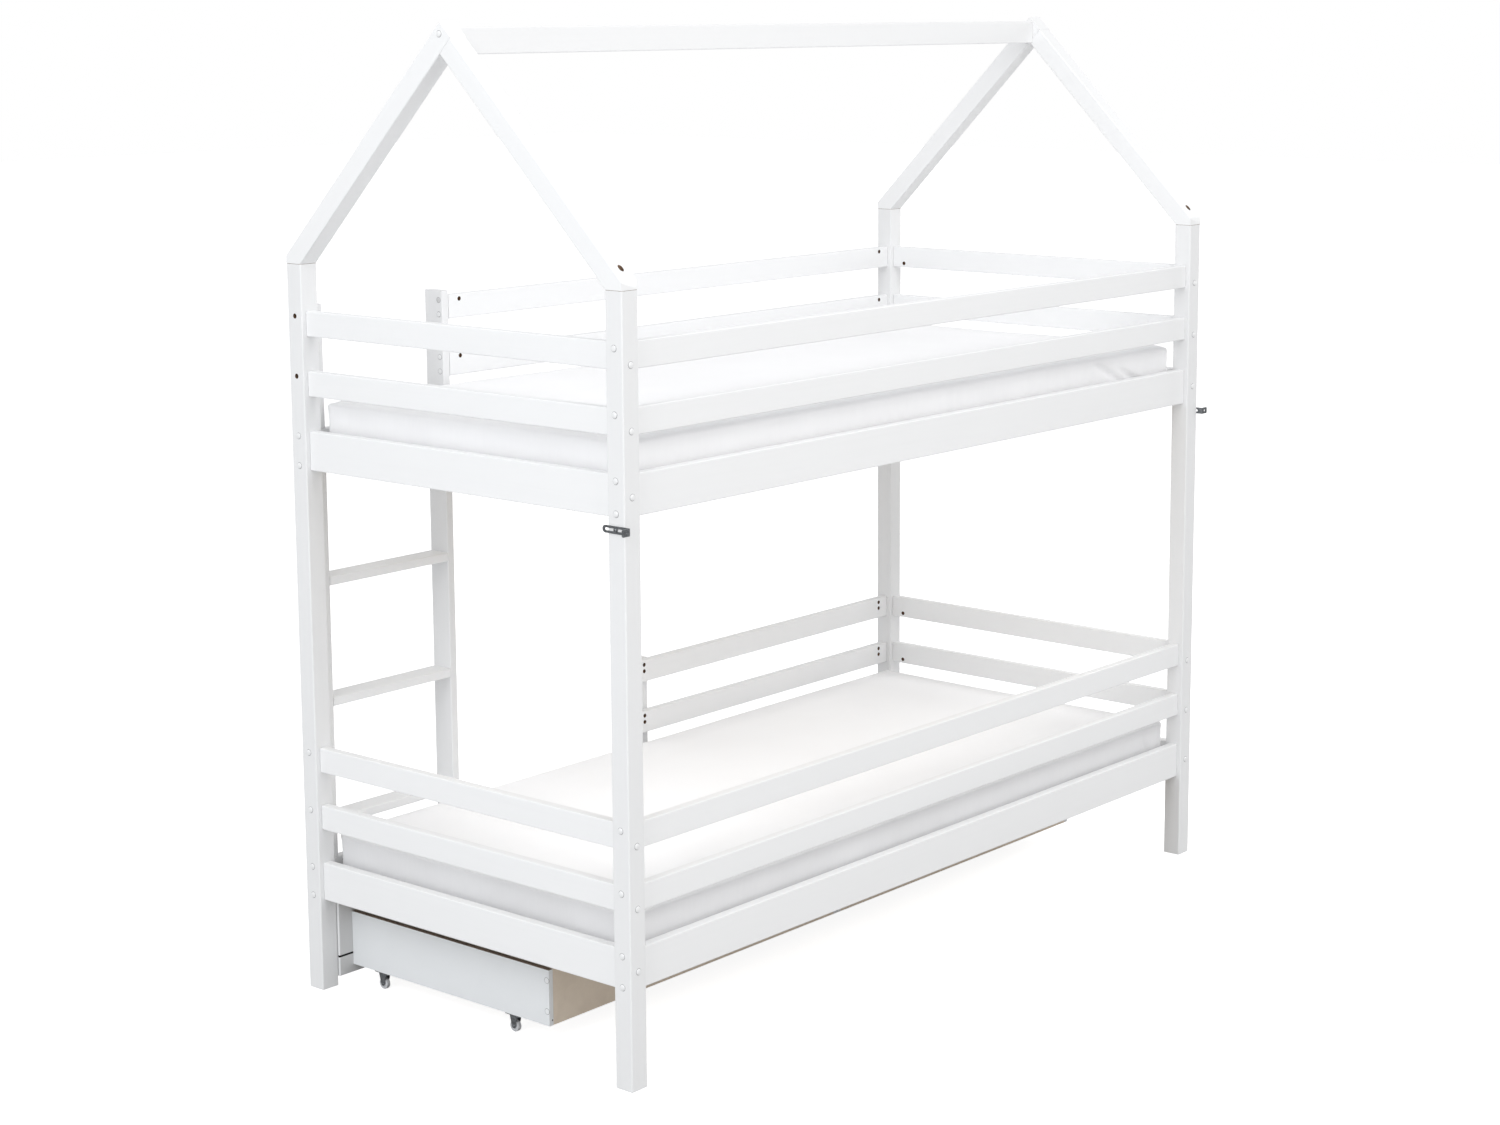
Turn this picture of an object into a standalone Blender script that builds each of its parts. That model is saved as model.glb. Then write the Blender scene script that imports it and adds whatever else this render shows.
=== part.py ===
"""Bunk bed with a house-shaped roof, a ladder, two mattresses and two roll-out drawers.

Metres, +Z up. The bed's length lies along X with the ladder at the +X end. The ladder and the drawers are on
the -Y side, the wall brackets on the +Y side. Measures are taken from the middle of the four posts, and one
empty above all pieces moves the whole bed so that the origin is the middle of its footprint.
"""
import math

import bmesh
import bpy
from mathutils import Vector

# Clearances
FIT = 0.0003
RUNNING = 0.00005
LET_IN = 0.0005

# Timber stock
POST = 0.045
BOARD = 0.022
RAIL_HEIGHT = 0.084
GUARD_HEIGHT = 0.054
LADDER_THICK = 0.020
LADDER_DEEP = 0.056
EASE = 0.0025
LONG_EDGE = 0.2

# Frame over the posts
LENGTH = 2.070
WIDTH = 0.970
POST_X = (LENGTH - POST) / 2
POST_Y = (WIDTH - POST) / 2
POST_INNER_X = POST_X - POST / 2
POST_INNER_Y = POST_Y - POST / 2
POST_OUTER_X = POST_X + POST / 2
POST_OUTER_Y = POST_Y + POST / 2
RAIL_INNER_X = POST_X - BOARD / 2
RAIL_INNER_Y = POST_Y - BOARD / 2
RAIL_OUTER_Y = POST_Y + BOARD / 2

# Bolt pattern: one module between holes, the same pattern at both bed levels
MODULE = 0.032
LOWER_HOLE = 0.2135
LEVEL_STEP = 0.950
LEVELS = {"lower": LOWER_HOLE, "upper": LOWER_HOLE + LEVEL_STEP}
RAIL_UP = MODULE
GUARDS_UP = {"low": 5.5 * MODULE, "top": 9.5 * MODULE}
LONG_BOLTS_UP = (0.0, 2 * MODULE, 6 * MODULE, 10 * MODULE)
END_BOLTS_UP = (MODULE, 5 * MODULE, 9 * MODULE)
POST_ABOVE_GUARD = 0.0995
POST_HEIGHT = LEVELS["upper"] + GUARDS_UP["top"] + GUARD_HEIGHT / 2 + POST_ABOVE_GUARD

# Bolt holes left open in the post beside the ladder
OPEN_HOLE_RADIUS = 0.005
OPEN_HOLE_DEPTH = 0.028
HOLE_SIDES = 12

# Domed caps over the bolt heads
CAP_RADIUS = 0.0063
CAP_PROUD = 0.0024
CAP_SIDES = 10

# Round nuts in the boards' inner faces, set a little below the timber
NUT_RADIUS = 0.005
NUT_BELOW = 0.0012
NUT_SIDES = 10
SPARE_HOLE_DEPTH = 0.0145
NUT_FROM_POST = 0.036
NUT_FROM_STILE = 0.032
NUT_FROM_FREE_END = 0.021
END_NUT_FROM_POST = 0.035

# Ladder
STILE_OUTER_Y = RAIL_INNER_Y + LADDER_DEEP
STILE_ABOVE_GUARD = 0.0105
RUNG_LENGTH = 0.346
RUNG_FIRST_TOP = LOWER_HOLE + 0.1635
RUNG_STEP = 0.2678
RUNG_COUNT = 3
STILE_CAPS_UP = (5 * MODULE, 6 * MODULE, 9 * MODULE, 10 * MODULE)
STILE_CAP_RADIUS = 0.0055
STILE_CAP_PROUD = 0.0015

# Short upright outside the lower front boards
UPRIGHT_WIDE = 0.056
UPRIGHT_THICK = 0.020
UPRIGHT_EDGE_X = 0.0

# Roof: the rafters' feet cover the post tops, which fixes the height of the outer cut
RAFTER_HEEL = POST * (math.sqrt(2) - 1)
APEX_Z = POST_HEIGHT + RAFTER_HEEL + POST_OUTER_Y
RAFTER_PLUMB = POST * math.sqrt(2)
RAFTER_END = POST / math.sqrt(2)
RIDGE_HEIGHT = GUARD_HEIGHT
RIDGE_TOP = APEX_Z - BOARD / 2
ROOF_HOLE_RADIUS = 0.005
ROOF_HOLE_FLOOR = 0.016
RIDGE_CAP_BELOW = 0.0128

# Slats and the strips that carry them
SLAT_THICK = 0.018
SLAT_WIDE = 0.068
SLAT_COUNT = 14
SLAT_END_GAP = 0.0475
SLAT_SPAN = 2 * (POST_INNER_X - SLAT_END_GAP)
LEDGER_DEEP = 0.022
LEDGER_HEIGHT = 0.0185
LEDGER_SHORT_OF_POST = 0.060
SLAT_EASE = 0.003

# Mattresses, a little smaller than the room between the posts and between the side rails
MATTRESS_END_GAP = 0.0075
MATTRESS_SIDE_GAP = 0.009
MATTRESS_HALF_X = POST_INNER_X - MATTRESS_END_GAP
MATTRESS_HALF_Y = RAIL_INNER_Y - MATTRESS_SIDE_GAP
MATTRESS_CORNER = 0.045
MATTRESS_CROWN = 0.120
MATTRESS_EDGE = 0.104
MATTRESS_DRAWN_IN = 0.005

# Drawers: the front stands back from the posts' outer faces and below the side rail
FRONT_SET_BACK = 0.0305
FRONT_THICK = 0.018
FRONT_BOTTOM = 0.020
FRONT_BELOW_RAIL = 0.0055
FRONT_TOP = LOWER_HOLE + RAIL_UP - RAIL_HEIGHT / 2 - FRONT_BELOW_RAIL
FRONT_GAP = 0.0015
FRONT_EASE = 0.0015
DRAWER_DEPTH = 0.6265
DRAWER_FRONT_Y = FRONT_SET_BACK - POST_OUTER_Y
DRAWER_BACK_Y = DRAWER_FRONT_Y + DRAWER_DEPTH
BOX_FRONT_Y = DRAWER_FRONT_Y + FRONT_THICK
PANEL_EASE = 0.001
BOX_BOTTOM = 0.0385
BOX_HEIGHT = 0.122
BOX_SHORT_OF_POST = 0.040
BOX_OUTER_X = POST_INNER_X - BOX_SHORT_OF_POST
BOX_INNER_X = 0.0013
PANEL_THICK = 0.012
BOTTOM_THICK = 0.004
GROOVE_WIDE = BOTTOM_THICK + 2 * FIT
GROOVE_DEEP = 0.005
GROOVE_UP = 0.0245
GROOVE_LOW = BOX_BOTTOM + GROOVE_UP
BATTEN_WIDE = 0.038
BATTEN_HEIGHT = 0.022
PANEL_CAP_RADIUS = 0.0052
PANEL_CAP_PROUD = 0.0009
PANEL_CAPS_UP = (0.0315, 0.0985)

# Castors
WHEEL_RADIUS = 0.0125
WHEEL_WIDE = 0.010
WHEEL_SIDES = 24
AXLE_RADIUS = 0.002
CASTOR_BEHIND_FRONT = 0.1095
CASTOR_BEFORE_BACK = 0.110
CASTOR_Y = (DRAWER_FRONT_Y + CASTOR_BEHIND_FRONT, DRAWER_BACK_Y - CASTOR_BEFORE_BACK)
CASTOR_FROM_FACE = 0.010
PLATE_LONG = 0.046
PLATE_WIDE = 0.020
PLATE_THICK = 0.0015
CHEEK_THICK = 0.0012
CHEEK_GAP = 0.0005
CHEEK_TOP_HALF = 0.012
CHEEK_END_RADIUS = 0.005
RIVET_RADIUS = 0.0033
RIVET_HEIGHT = 0.0010

# Wall brackets: a slotted leg on the post's outer face, a short leg against the wall
WALL_GAP = 0.015
WALL_Y = POST_OUTER_Y + WALL_GAP
BRACKET_THICK = 0.002
BRACKET_TALL = 0.015
BRACKET_BELOW_RAIL = 0.021
BRACKET_Z = LEVELS["upper"] + RAIL_UP - RAIL_HEIGHT / 2 - BRACKET_BELOW_RAIL
BRACKET_REACH = 0.0345
BRACKET_START_Y = POST_Y - BRACKET_REACH
BRACKET_SHORT_LEG = 0.0223
BRACKET_OUT_X = POST_OUTER_X + FIT + BRACKET_SHORT_LEG
SLOT_WIDE = 0.006
SLOT_FROM_START = 0.0057
SLOT_FROM_WALL = 0.0125
SLOT_Y = (BRACKET_START_Y + SLOT_FROM_START, WALL_Y - SLOT_FROM_WALL)
WALL_HOLE_RADIUS = 0.00325
BRACKET_CORNER = 0.003
SCREW_SHANK_RADIUS = 0.0022
SCREW_HEAD_RADIUS = 0.004
SCREW_HEAD_HEIGHT = 0.0022

# The footprint reaches from the ladder's outer face to the wall plane
SHIFT_Y = (STILE_OUTER_Y - WALL_Y) / 2

# Finishes: colour, roughness, metallic
WHITE_PAINT = ((0.86, 0.86, 0.86), 0.42, 0.0)
FABRIC = ((0.88, 0.88, 0.88), 0.95, 0.0)
PLAIN_WOOD = ((0.66, 0.54, 0.38), 0.70, 0.0)
DRAWER_BOARD = ((0.62, 0.59, 0.54), 0.60, 0.0)
DRAWER_SIDE = ((0.74, 0.76, 0.77), 0.45, 0.0)
WHEEL_PLASTIC = ((0.70, 0.71, 0.72), 0.45, 0.0)
ZINC = ((0.55, 0.57, 0.60), 0.35, 1.0)


def clear_scene():
    """Take every object out of the file."""
    for obj in list(bpy.data.objects):
        bpy.data.objects.remove(obj, do_unlink=True)


def add_frame(name, location, parent=None):
    """Add an empty that other pieces hang from."""
    frame = bpy.data.objects.new(name, None)
    frame.empty_display_size = 0.1
    frame.location = location
    frame.parent = parent
    bpy.context.collection.objects.link(frame)
    return frame


def give_material(obj, finish):
    """Give a piece its own material."""
    colour, roughness, metallic = finish
    material = bpy.data.materials.new(obj.name)
    material.use_nodes = True
    shader = material.node_tree.nodes["Principled BSDF"]
    shader.inputs["Base Color"].default_value = (*colour, 1.0)
    shader.inputs["Roughness"].default_value = roughness
    shader.inputs["Metallic"].default_value = metallic
    obj.data.materials.append(material)


def make_piece(name, shape, origin, finish, parent, smooth=False):
    """Turn a shape in bed measures into an object whose own origin lies at the given point."""
    origin = Vector(origin)
    bmesh.ops.translate(shape, vec=-origin, verts=shape.verts)
    bmesh.ops.recalc_face_normals(shape, faces=shape.faces)
    mesh = bpy.data.meshes.new(name)
    shape.to_mesh(mesh)
    shape.free()
    if smooth:
        mesh.shade_smooth()
        mesh.set_sharp_from_angle(angle=math.radians(40))
    obj = bpy.data.objects.new(name, mesh)
    obj.parent = parent
    obj.location = origin
    if parent.parent is not None:
        obj.location = origin - parent.location
    bpy.context.collection.objects.link(obj)
    give_material(obj, finish)
    return obj


def combine(shape, other, operation):
    """Return the exact difference, union or intersection of two closed shapes."""
    pair = []
    for source in (shape, other):
        bmesh.ops.recalc_face_normals(source, faces=source.faces)
        mesh = bpy.data.meshes.new("combining")
        source.to_mesh(mesh)
        source.free()
        obj = bpy.data.objects.new("combining", mesh)
        bpy.context.collection.objects.link(obj)
        pair.append(obj)
    modifier = pair[0].modifiers.new("combine", "BOOLEAN")
    modifier.operation = operation
    modifier.solver = "EXACT"
    modifier.object = pair[1]
    result = bmesh.new()
    result.from_object(pair[0], bpy.context.evaluated_depsgraph_get())
    for obj in pair:
        bpy.data.objects.remove(obj, do_unlink=True)
    return result


def along_axis(axis, run, u, v):
    """Put a point given along one axis and across it into x, y, z."""
    if axis == "X":
        return Vector((run, u, v))
    if axis == "Y":
        return Vector((u, run, v))
    return Vector((u, v, run))


def prism(shape, outline, axis, start, end):
    """Add a solid with one outline along its whole length."""
    rings = []
    for run in (start, end):
        rings.append([shape.verts.new(along_axis(axis, run, u, v)) for u, v in outline])
    count = len(outline)
    for k in range(count):
        after = (k + 1) % count
        shape.faces.new((rings[0][k], rings[0][after], rings[1][after], rings[1][k]))
    shape.faces.new(rings[0])
    shape.faces.new(rings[1])
    return rings


def arc(centre, radius, start, end, steps):
    """Points of an arc, angles in degrees."""
    points = []
    for k in range(steps + 1):
        angle = math.radians(start + (end - start) * k / steps)
        points.append((centre[0] + radius * math.cos(angle), centre[1] + radius * math.sin(angle)))
    return points


def board_outline(low, high, ease=EASE, steps=2, groove=None):
    """Cross-section of a board with eased corners; a groove is (face, low, high, depth), face 0 or 1."""
    (u0, v0), (u1, v1) = low, high
    points = arc((u0 + ease, v0 + ease), ease, 180, 270, steps)
    points += arc((u1 - ease, v0 + ease), ease, 270, 360, steps)
    if groove and groove[0] == 1:
        _, g0, g1, deep = groove
        points += [(u1, g0), (u1 - deep, g0), (u1 - deep, g1), (u1, g1)]
    points += arc((u1 - ease, v1 - ease), ease, 0, 90, steps)
    points += arc((u0 + ease, v1 - ease), ease, 90, 180, steps)
    if groove and groove[0] == 0:
        _, g0, g1, deep = groove
        points += [(u0, g1), (u0 + deep, g1), (u0 + deep, g0), (u0, g0)]
    return points


def bar(shape, axis, run, centre, size, ease=EASE, steps=2):
    """Add a board with square ends and eased long edges."""
    low = (centre[0] - size[0] / 2, centre[1] - size[1] / 2)
    high = (centre[0] + size[0] / 2, centre[1] + size[1] / 2)
    prism(shape, board_outline(low, high, ease, steps), axis, run[0], run[1])


def turned(shape, profile, centre, axis, sides, bored=False):
    """Add a solid turned from (radius, distance along the axis) points; a bored one closes on itself."""
    turn = Vector((0, 0, 1)).rotation_difference(Vector(axis)).to_matrix()
    loops = []
    for radius, run in profile:
        loop = []
        for k in range(sides):
            angle = 2 * math.pi * k / sides
            local = Vector((radius * math.cos(angle), radius * math.sin(angle), run))
            loop.append(shape.verts.new(Vector(centre) + turn @ local))
        loops.append(loop)
    pairs = list(zip(loops, loops[1:]))
    if bored:
        pairs.append((loops[-1], loops[0]))
    else:
        shape.faces.new(loops[0])
        shape.faces.new(loops[-1])
    for near, far in pairs:
        for k in range(sides):
            after = (k + 1) % sides
            shape.faces.new((near[k], near[after], far[after], far[k]))


def rod(shape, centre, axis, radius, length, sides):
    """Add a plain cylinder that starts at a point."""
    turned(shape, [(radius, 0.0), (radius, length)], centre, axis, sides)


def add_cap(caps, at, outwards, radius=CAP_RADIUS, proud=CAP_PROUD):
    """Add one domed cap, let into the face that it sits on."""
    profile = [(radius, -LET_IN), (radius, proud * 0.35), (radius * 0.62, proud)]
    turned(caps, profile, at, outwards, CAP_SIDES)


def sunk_holes(shape, places, outwards, radius, depth, sides):
    """Sink round holes into a board's inner face; outwards is the way its outer face looks."""
    cutter = bmesh.new()
    for place in places:
        start = Vector(place) - Vector(outwards) * 4 * FIT
        rod(cutter, start, outwards, radius, depth + 4 * FIT, sides)
    return combine(shape, cutter, "DIFFERENCE")


def mirror_x(shape, hand):
    """Turn a shape made for the +X side into the one for the other side when hand is -1."""
    if hand < 0:
        for vert in shape.verts:
            vert.co.x = -vert.co.x


def post_caps(name, sx, sy):
    """Caps on the two outer faces of a post, left out where a bolt hole stays open."""
    caps = bmesh.new()
    for level, hole in LEVELS.items():
        for up in LONG_BOLTS_UP:
            if name == "post_front_right" and level == "upper" and up in LONG_BOLTS_UP[2:]:
                continue
            add_cap(caps, (sx * POST_OUTER_X, sy * POST_Y, hole + up), (sx, 0, 0))
        for up in END_BOLTS_UP:
            add_cap(caps, (sx * POST_X, sy * POST_OUTER_Y, hole + up), (0, sy, 0))
    return caps


def bracket_screw(sx):
    """Screw that holds a wall bracket: its shank runs through the slot and its head lies over it."""
    screw = bmesh.new()
    under_head = 2 * FIT + BRACKET_THICK
    profile = [
        (SCREW_SHANK_RADIUS, -LET_IN),
        (SCREW_SHANK_RADIUS, under_head),
        (SCREW_HEAD_RADIUS, under_head),
        (SCREW_HEAD_RADIUS, under_head + SCREW_HEAD_HEIGHT * 0.4),
        (SCREW_HEAD_RADIUS * 0.6, under_head + SCREW_HEAD_HEIGHT),
    ]
    turned(screw, profile, (sx * POST_OUTER_X, POST_Y, BRACKET_Z), (sx, 0, 0), HOLE_SIDES)
    return screw


def build_posts(bed):
    """Four corner posts with their caps; the one beside the ladder keeps two of its bolt holes open."""
    corners = {
        "post_front_right": (1, -1),
        "post_back_right": (1, 1),
        "post_back_left": (-1, 1),
        "post_front_left": (-1, -1),
    }
    for name, (sx, sy) in corners.items():
        shape = bmesh.new()
        bar(shape, "Z", (0.0, POST_HEIGHT), (sx * POST_X, sy * POST_Y), (POST, POST), EASE, 1)
        shape = combine(shape, post_caps(name, sx, sy), "UNION")
        if name == "post_front_right":
            cutter = bmesh.new()
            for up in LONG_BOLTS_UP[2:]:
                start = (sx * (POST_OUTER_X + 4 * FIT), sy * POST_Y, LEVELS["upper"] + up)
                rod(cutter, start, (-sx, 0, 0), OPEN_HOLE_RADIUS, OPEN_HOLE_DEPTH, HOLE_SIDES)
            shape = combine(shape, cutter, "DIFFERENCE")
        if sy > 0:
            shape = combine(shape, bracket_screw(sx), "UNION")
        make_piece(name, shape, (sx * POST_X, sy * POST_Y, 0.0), WHITE_PAINT, bed, smooth=True)


def stile_inner_x():
    """Centre of the ladder's second stile."""
    return POST_INNER_X - FIT - LADDER_THICK * 1.5 - RUNG_LENGTH - 2 * FIT


def stile_outer_x():
    """Centre of the stile that stands against the post."""
    return POST_INNER_X - FIT - LADDER_THICK / 2


def build_long_boards(bed, level, hole):
    """Side rail and two guard boards at the front and at the back of one level."""
    for side_name, side in (("front", -1), ("back", 1)):
        low_x = -POST_INNER_X + FIT
        high_x = POST_INNER_X - FIT
        nuts_x = [NUT_FROM_POST - POST_INNER_X, POST_INNER_X - NUT_FROM_POST]
        face_y = side * RAIL_INNER_Y
        outwards = (0, side, 0)
        shape = bmesh.new()
        centre = (side * POST_Y, hole + RAIL_UP)
        bar(shape, "X", (low_x, high_x), centre, (BOARD, RAIL_HEIGHT))
        places = [(x, face_y, hole + up) for x in nuts_x for up in LONG_BOLTS_UP[:2]]
        shape = sunk_holes(shape, places, outwards, NUT_RADIUS, NUT_BELOW, NUT_SIDES)
        make_piece(f"{level}_rail_{side_name}", shape, (0, *centre), WHITE_PAINT, bed)
        half_free = side_name == "front" and level == "lower"
        if side_name == "front" and level == "upper":
            high_x = stile_inner_x() - LADDER_THICK / 2 - FIT
            nuts_x[1] = high_x - NUT_FROM_STILE
        if half_free:
            high_x = UPRIGHT_EDGE_X
            nuts_x[1] = high_x - NUT_FROM_FREE_END
        for place, up in GUARDS_UP.items():
            shape = bmesh.new()
            centre = (side * POST_Y, hole + up)
            bar(shape, "X", (low_x, high_x), centre, (BOARD, GUARD_HEIGHT))
            bolts = [(x, face_y, centre[1] + MODULE / 2) for x in nuts_x]
            if half_free:
                shape = sunk_holes(shape, bolts, outwards, NUT_RADIUS, SPARE_HOLE_DEPTH, NUT_SIDES)
                bolts = [(x, face_y, centre[1]) for x in nuts_x]
            shape = sunk_holes(shape, bolts, outwards, NUT_RADIUS, NUT_BELOW, NUT_SIDES)
            name = f"{level}_guard_{side_name}_{place}"
            make_piece(name, shape, ((low_x + high_x) / 2, *centre), WHITE_PAINT, bed)


def build_end_boards(bed, level, hole):
    """End rail and two guard boards at both ends of one level."""
    run = (-POST_INNER_Y + FIT, POST_INNER_Y - FIT)
    nuts_y = (END_NUT_FROM_POST - POST_INNER_Y, POST_INNER_Y - END_NUT_FROM_POST)
    boards = [("rail", "", RAIL_UP, RAIL_HEIGHT, 0.0)]
    for place, up in GUARDS_UP.items():
        boards.append(("guard", f"_{place}", up, GUARD_HEIGHT, -MODULE / 2))
    for side_name, side in (("left", -1), ("right", 1)):
        x = side * POST_X
        for kind, place, up, height, nut_up in boards:
            shape = bmesh.new()
            bar(shape, "Y", run, (x, hole + up), (BOARD, height))
            bolts = [(side * RAIL_INNER_X, y, hole + up + nut_up) for y in nuts_y]
            shape = sunk_holes(shape, bolts, (side, 0, 0), NUT_RADIUS, NUT_BELOW, NUT_SIDES)
            make_piece(f"{level}_{kind}_{side_name}{place}", shape, (x, 0, hole + up), WHITE_PAINT, bed)


def build_guard_upright(bed):
    """Short upright that carries the free ends of the lower front guard boards."""
    hole = LEVELS["lower"]
    low = hole + RAIL_UP - RAIL_HEIGHT / 2
    high = hole + GUARDS_UP["top"] + GUARD_HEIGHT / 2
    centre_x = UPRIGHT_EDGE_X - UPRIGHT_WIDE / 2
    centre_y = -(RAIL_OUTER_Y + FIT + UPRIGHT_THICK / 2)
    shape = bmesh.new()
    bar(shape, "Z", (low, high), (centre_x, centre_y), (UPRIGHT_WIDE, UPRIGHT_THICK))
    make_piece("lower_guard_upright", shape, (centre_x, centre_y, low), WHITE_PAINT, bed)


def stile_outline():
    """Side view of a stile, notched over the upper side rail and seated over the lower one."""
    rail_face = -(RAIL_OUTER_Y + FIT)
    inner = -RAIL_INNER_Y
    outer = -STILE_OUTER_Y
    low = LEVELS["lower"] + RAIL_UP - RAIL_HEIGHT / 2
    lower_top = LEVELS["lower"] + RAIL_UP + RAIL_HEIGHT / 2 + FIT
    upper_low = LEVELS["upper"] + RAIL_UP - RAIL_HEIGHT / 2 - FIT
    upper_top = LEVELS["upper"] + RAIL_UP + RAIL_HEIGHT / 2 + FIT
    top = LEVELS["upper"] + GUARDS_UP["top"] + GUARD_HEIGHT / 2 + STILE_ABOVE_GUARD
    return [
        (outer, low),
        (rail_face, low),
        (rail_face, lower_top),
        (inner, lower_top),
        (inner, upper_low),
        (rail_face, upper_low),
        (rail_face, upper_top),
        (inner, upper_top),
        (inner, top),
        (outer, top),
    ]


def ease_long_edges(shape):
    """Round the long edges that lie in the outline's own plane."""
    edges = []
    for edge in shape.edges:
        first, second = edge.verts
        if abs(first.co.x - second.co.x) < 1e-6 and edge.calc_length() > LONG_EDGE:
            edges.append(edge)
    bmesh.ops.bevel(shape, geom=edges, offset=EASE, segments=2, profile=0.5, affect="EDGES")


def build_ladder(bed):
    """Two notched stiles; the free one carries the three rungs."""
    shapes = []
    for centre_x in (stile_outer_x(), stile_inner_x()):
        shape = bmesh.new()
        prism(shape, stile_outline(), "X", centre_x - LADDER_THICK / 2, centre_x + LADDER_THICK / 2)
        ease_long_edges(shape)
        shapes.append(shape)
    run = (stile_inner_x() + LADDER_THICK / 2 - LET_IN, stile_outer_x() - LADDER_THICK / 2 - FIT)
    middle_y = -(RAIL_INNER_Y + STILE_OUTER_Y) / 2
    rungs = bmesh.new()
    for k in range(RUNG_COUNT):
        centre = (middle_y, RUNG_FIRST_TOP + k * RUNG_STEP - LADDER_THICK / 2)
        bar(rungs, "X", run, centre, (LADDER_DEEP, LADDER_THICK))
    shapes[1] = combine(shapes[1], rungs, "UNION")
    caps = bmesh.new()
    for up in STILE_CAPS_UP:
        at = (stile_inner_x() + LADDER_THICK / 2, -POST_Y, LEVELS["upper"] + up)
        add_cap(caps, at, (1, 0, 0), STILE_CAP_RADIUS, STILE_CAP_PROUD)
    shapes[1] = combine(shapes[1], caps, "UNION")
    origin = (stile_outer_x(), -RAIL_OUTER_Y, 0.0)
    make_piece("ladder_stile", shapes[0], origin, WHITE_PAINT, bed)
    origin = (stile_inner_x(), -RAIL_OUTER_Y, 0.0)
    make_piece("ladder_stile_with_rungs", shapes[1], origin, WHITE_PAINT, bed)


def rafter_outline(front):
    """Side view of a rafter; the front one runs to the apex, the back one butts against it."""
    foot = POST_HEIGHT + FIT
    heel = POST_HEIGHT + RAFTER_HEEL
    if front:
        return [
            (-POST_INNER_Y, foot),
            (-POST_OUTER_Y, foot),
            (-POST_OUTER_Y, heel),
            (0.0, APEX_Z),
            (RAFTER_END, APEX_Z - RAFTER_END),
        ]
    gap = FIT / math.sqrt(2)
    return [
        (POST_INNER_Y, foot),
        (POST_OUTER_Y, foot),
        (POST_OUTER_Y, heel),
        (RAFTER_END + gap, APEX_Z - RAFTER_END - gap),
        (gap, APEX_Z - RAFTER_PLUMB - gap),
    ]


def build_roof(bed):
    """Two gables of two rafters each and the ridge beam between them."""
    for end_name, sx in (("left", -1), ("right", 1)):
        for side_name, sy in (("front", -1), ("back", 1)):
            shape = bmesh.new()
            start = sx * POST_X - POST / 2
            prism(shape, rafter_outline(sy < 0), "X", start, start + POST)
            ease_long_edges(shape)
            cutter = bmesh.new()
            floor = (sx * POST_X, sy * POST_Y, POST_HEIGHT + ROOF_HOLE_FLOOR)
            rod(cutter, floor, (0, 0, 1), ROOF_HOLE_RADIUS, POST, HOLE_SIDES)
            shape = combine(shape, cutter, "DIFFERENCE")
            if sy < 0:
                cap = bmesh.new()
                add_cap(cap, (sx * POST_OUTER_X, 0.0, RIDGE_TOP - RIDGE_CAP_BELOW), (sx, 0, 0))
                shape = combine(shape, cap, "UNION")
            foot = (sx * POST_X, sy * POST_Y, POST_HEIGHT)
            make_piece(f"rafter_{side_name}_{end_name}", shape, foot, WHITE_PAINT, bed)
    shape = bmesh.new()
    centre = (0.0, RIDGE_TOP - RIDGE_HEIGHT / 2)
    bar(shape, "X", (-POST_INNER_X + FIT, POST_INNER_X - FIT), centre, (BOARD, RIDGE_HEIGHT))
    make_piece("ridge_beam", shape, (0, *centre), WHITE_PAINT, bed)


def slat_top(hole):
    """Height of the slats' upper faces; the strips under them are level with the side rails' lower edges."""
    return hole + RAIL_UP - RAIL_HEIGHT / 2 + LEDGER_HEIGHT + SLAT_THICK


def build_slats(bed, level, hole):
    """Slatted base: two strips along the side rails with the slats fixed across them."""
    end = POST_INNER_X - LEDGER_SHORT_OF_POST
    top = slat_top(hole)
    base = bmesh.new()
    for side in (-1, 1):
        centre = (side * (RAIL_INNER_Y - FIT - LEDGER_DEEP / 2), top - SLAT_THICK - LEDGER_HEIGHT / 2)
        bar(base, "X", (-end, end), centre, (LEDGER_DEEP, LEDGER_HEIGHT), 0.001, 1)
    half = RAIL_INNER_Y - 4 * FIT
    slats = bmesh.new()
    for k in range(SLAT_COUNT):
        centre_x = -SLAT_SPAN / 2 + SLAT_SPAN * k / (SLAT_COUNT - 1)
        centre = (centre_x, top - (SLAT_THICK + LET_IN) / 2)
        bar(slats, "Y", (-half, half), centre, (SLAT_WIDE, SLAT_THICK + LET_IN), SLAT_EASE, 1)
    base = combine(base, slats, "UNION")
    make_piece(f"{level}_slatted_base", base, (0, 0, top), PLAIN_WOOD, bed)


def mattress_plan(inset):
    """Plan of the mattress, drawn in by a distance, with points along its straight sides."""
    half_x = MATTRESS_HALF_X - inset
    half_y = MATTRESS_HALF_Y - inset
    radius = max(MATTRESS_CORNER - inset, 0.02)
    corners = ((half_x - radius, half_y - radius, 0), (radius - half_x, half_y - radius, 90),
               (radius - half_x, radius - half_y, 180), (half_x - radius, radius - half_y, 270))
    points = []
    for k, (x, y, start) in enumerate(corners):
        points += arc((x, y), radius, start, start + 90, 4)
        next_x, next_y, next_start = corners[(k + 1) % 4]
        near = points[-1]
        far = arc((next_x, next_y), radius, next_start, next_start, 1)[0]
        pieces = 7 if k % 2 == 0 else 4
        for j in range(1, pieces):
            part = j / pieces
            points.append((near[0] + (far[0] - near[0]) * part, near[1] + (far[1] - near[1]) * part))
    return points


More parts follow.
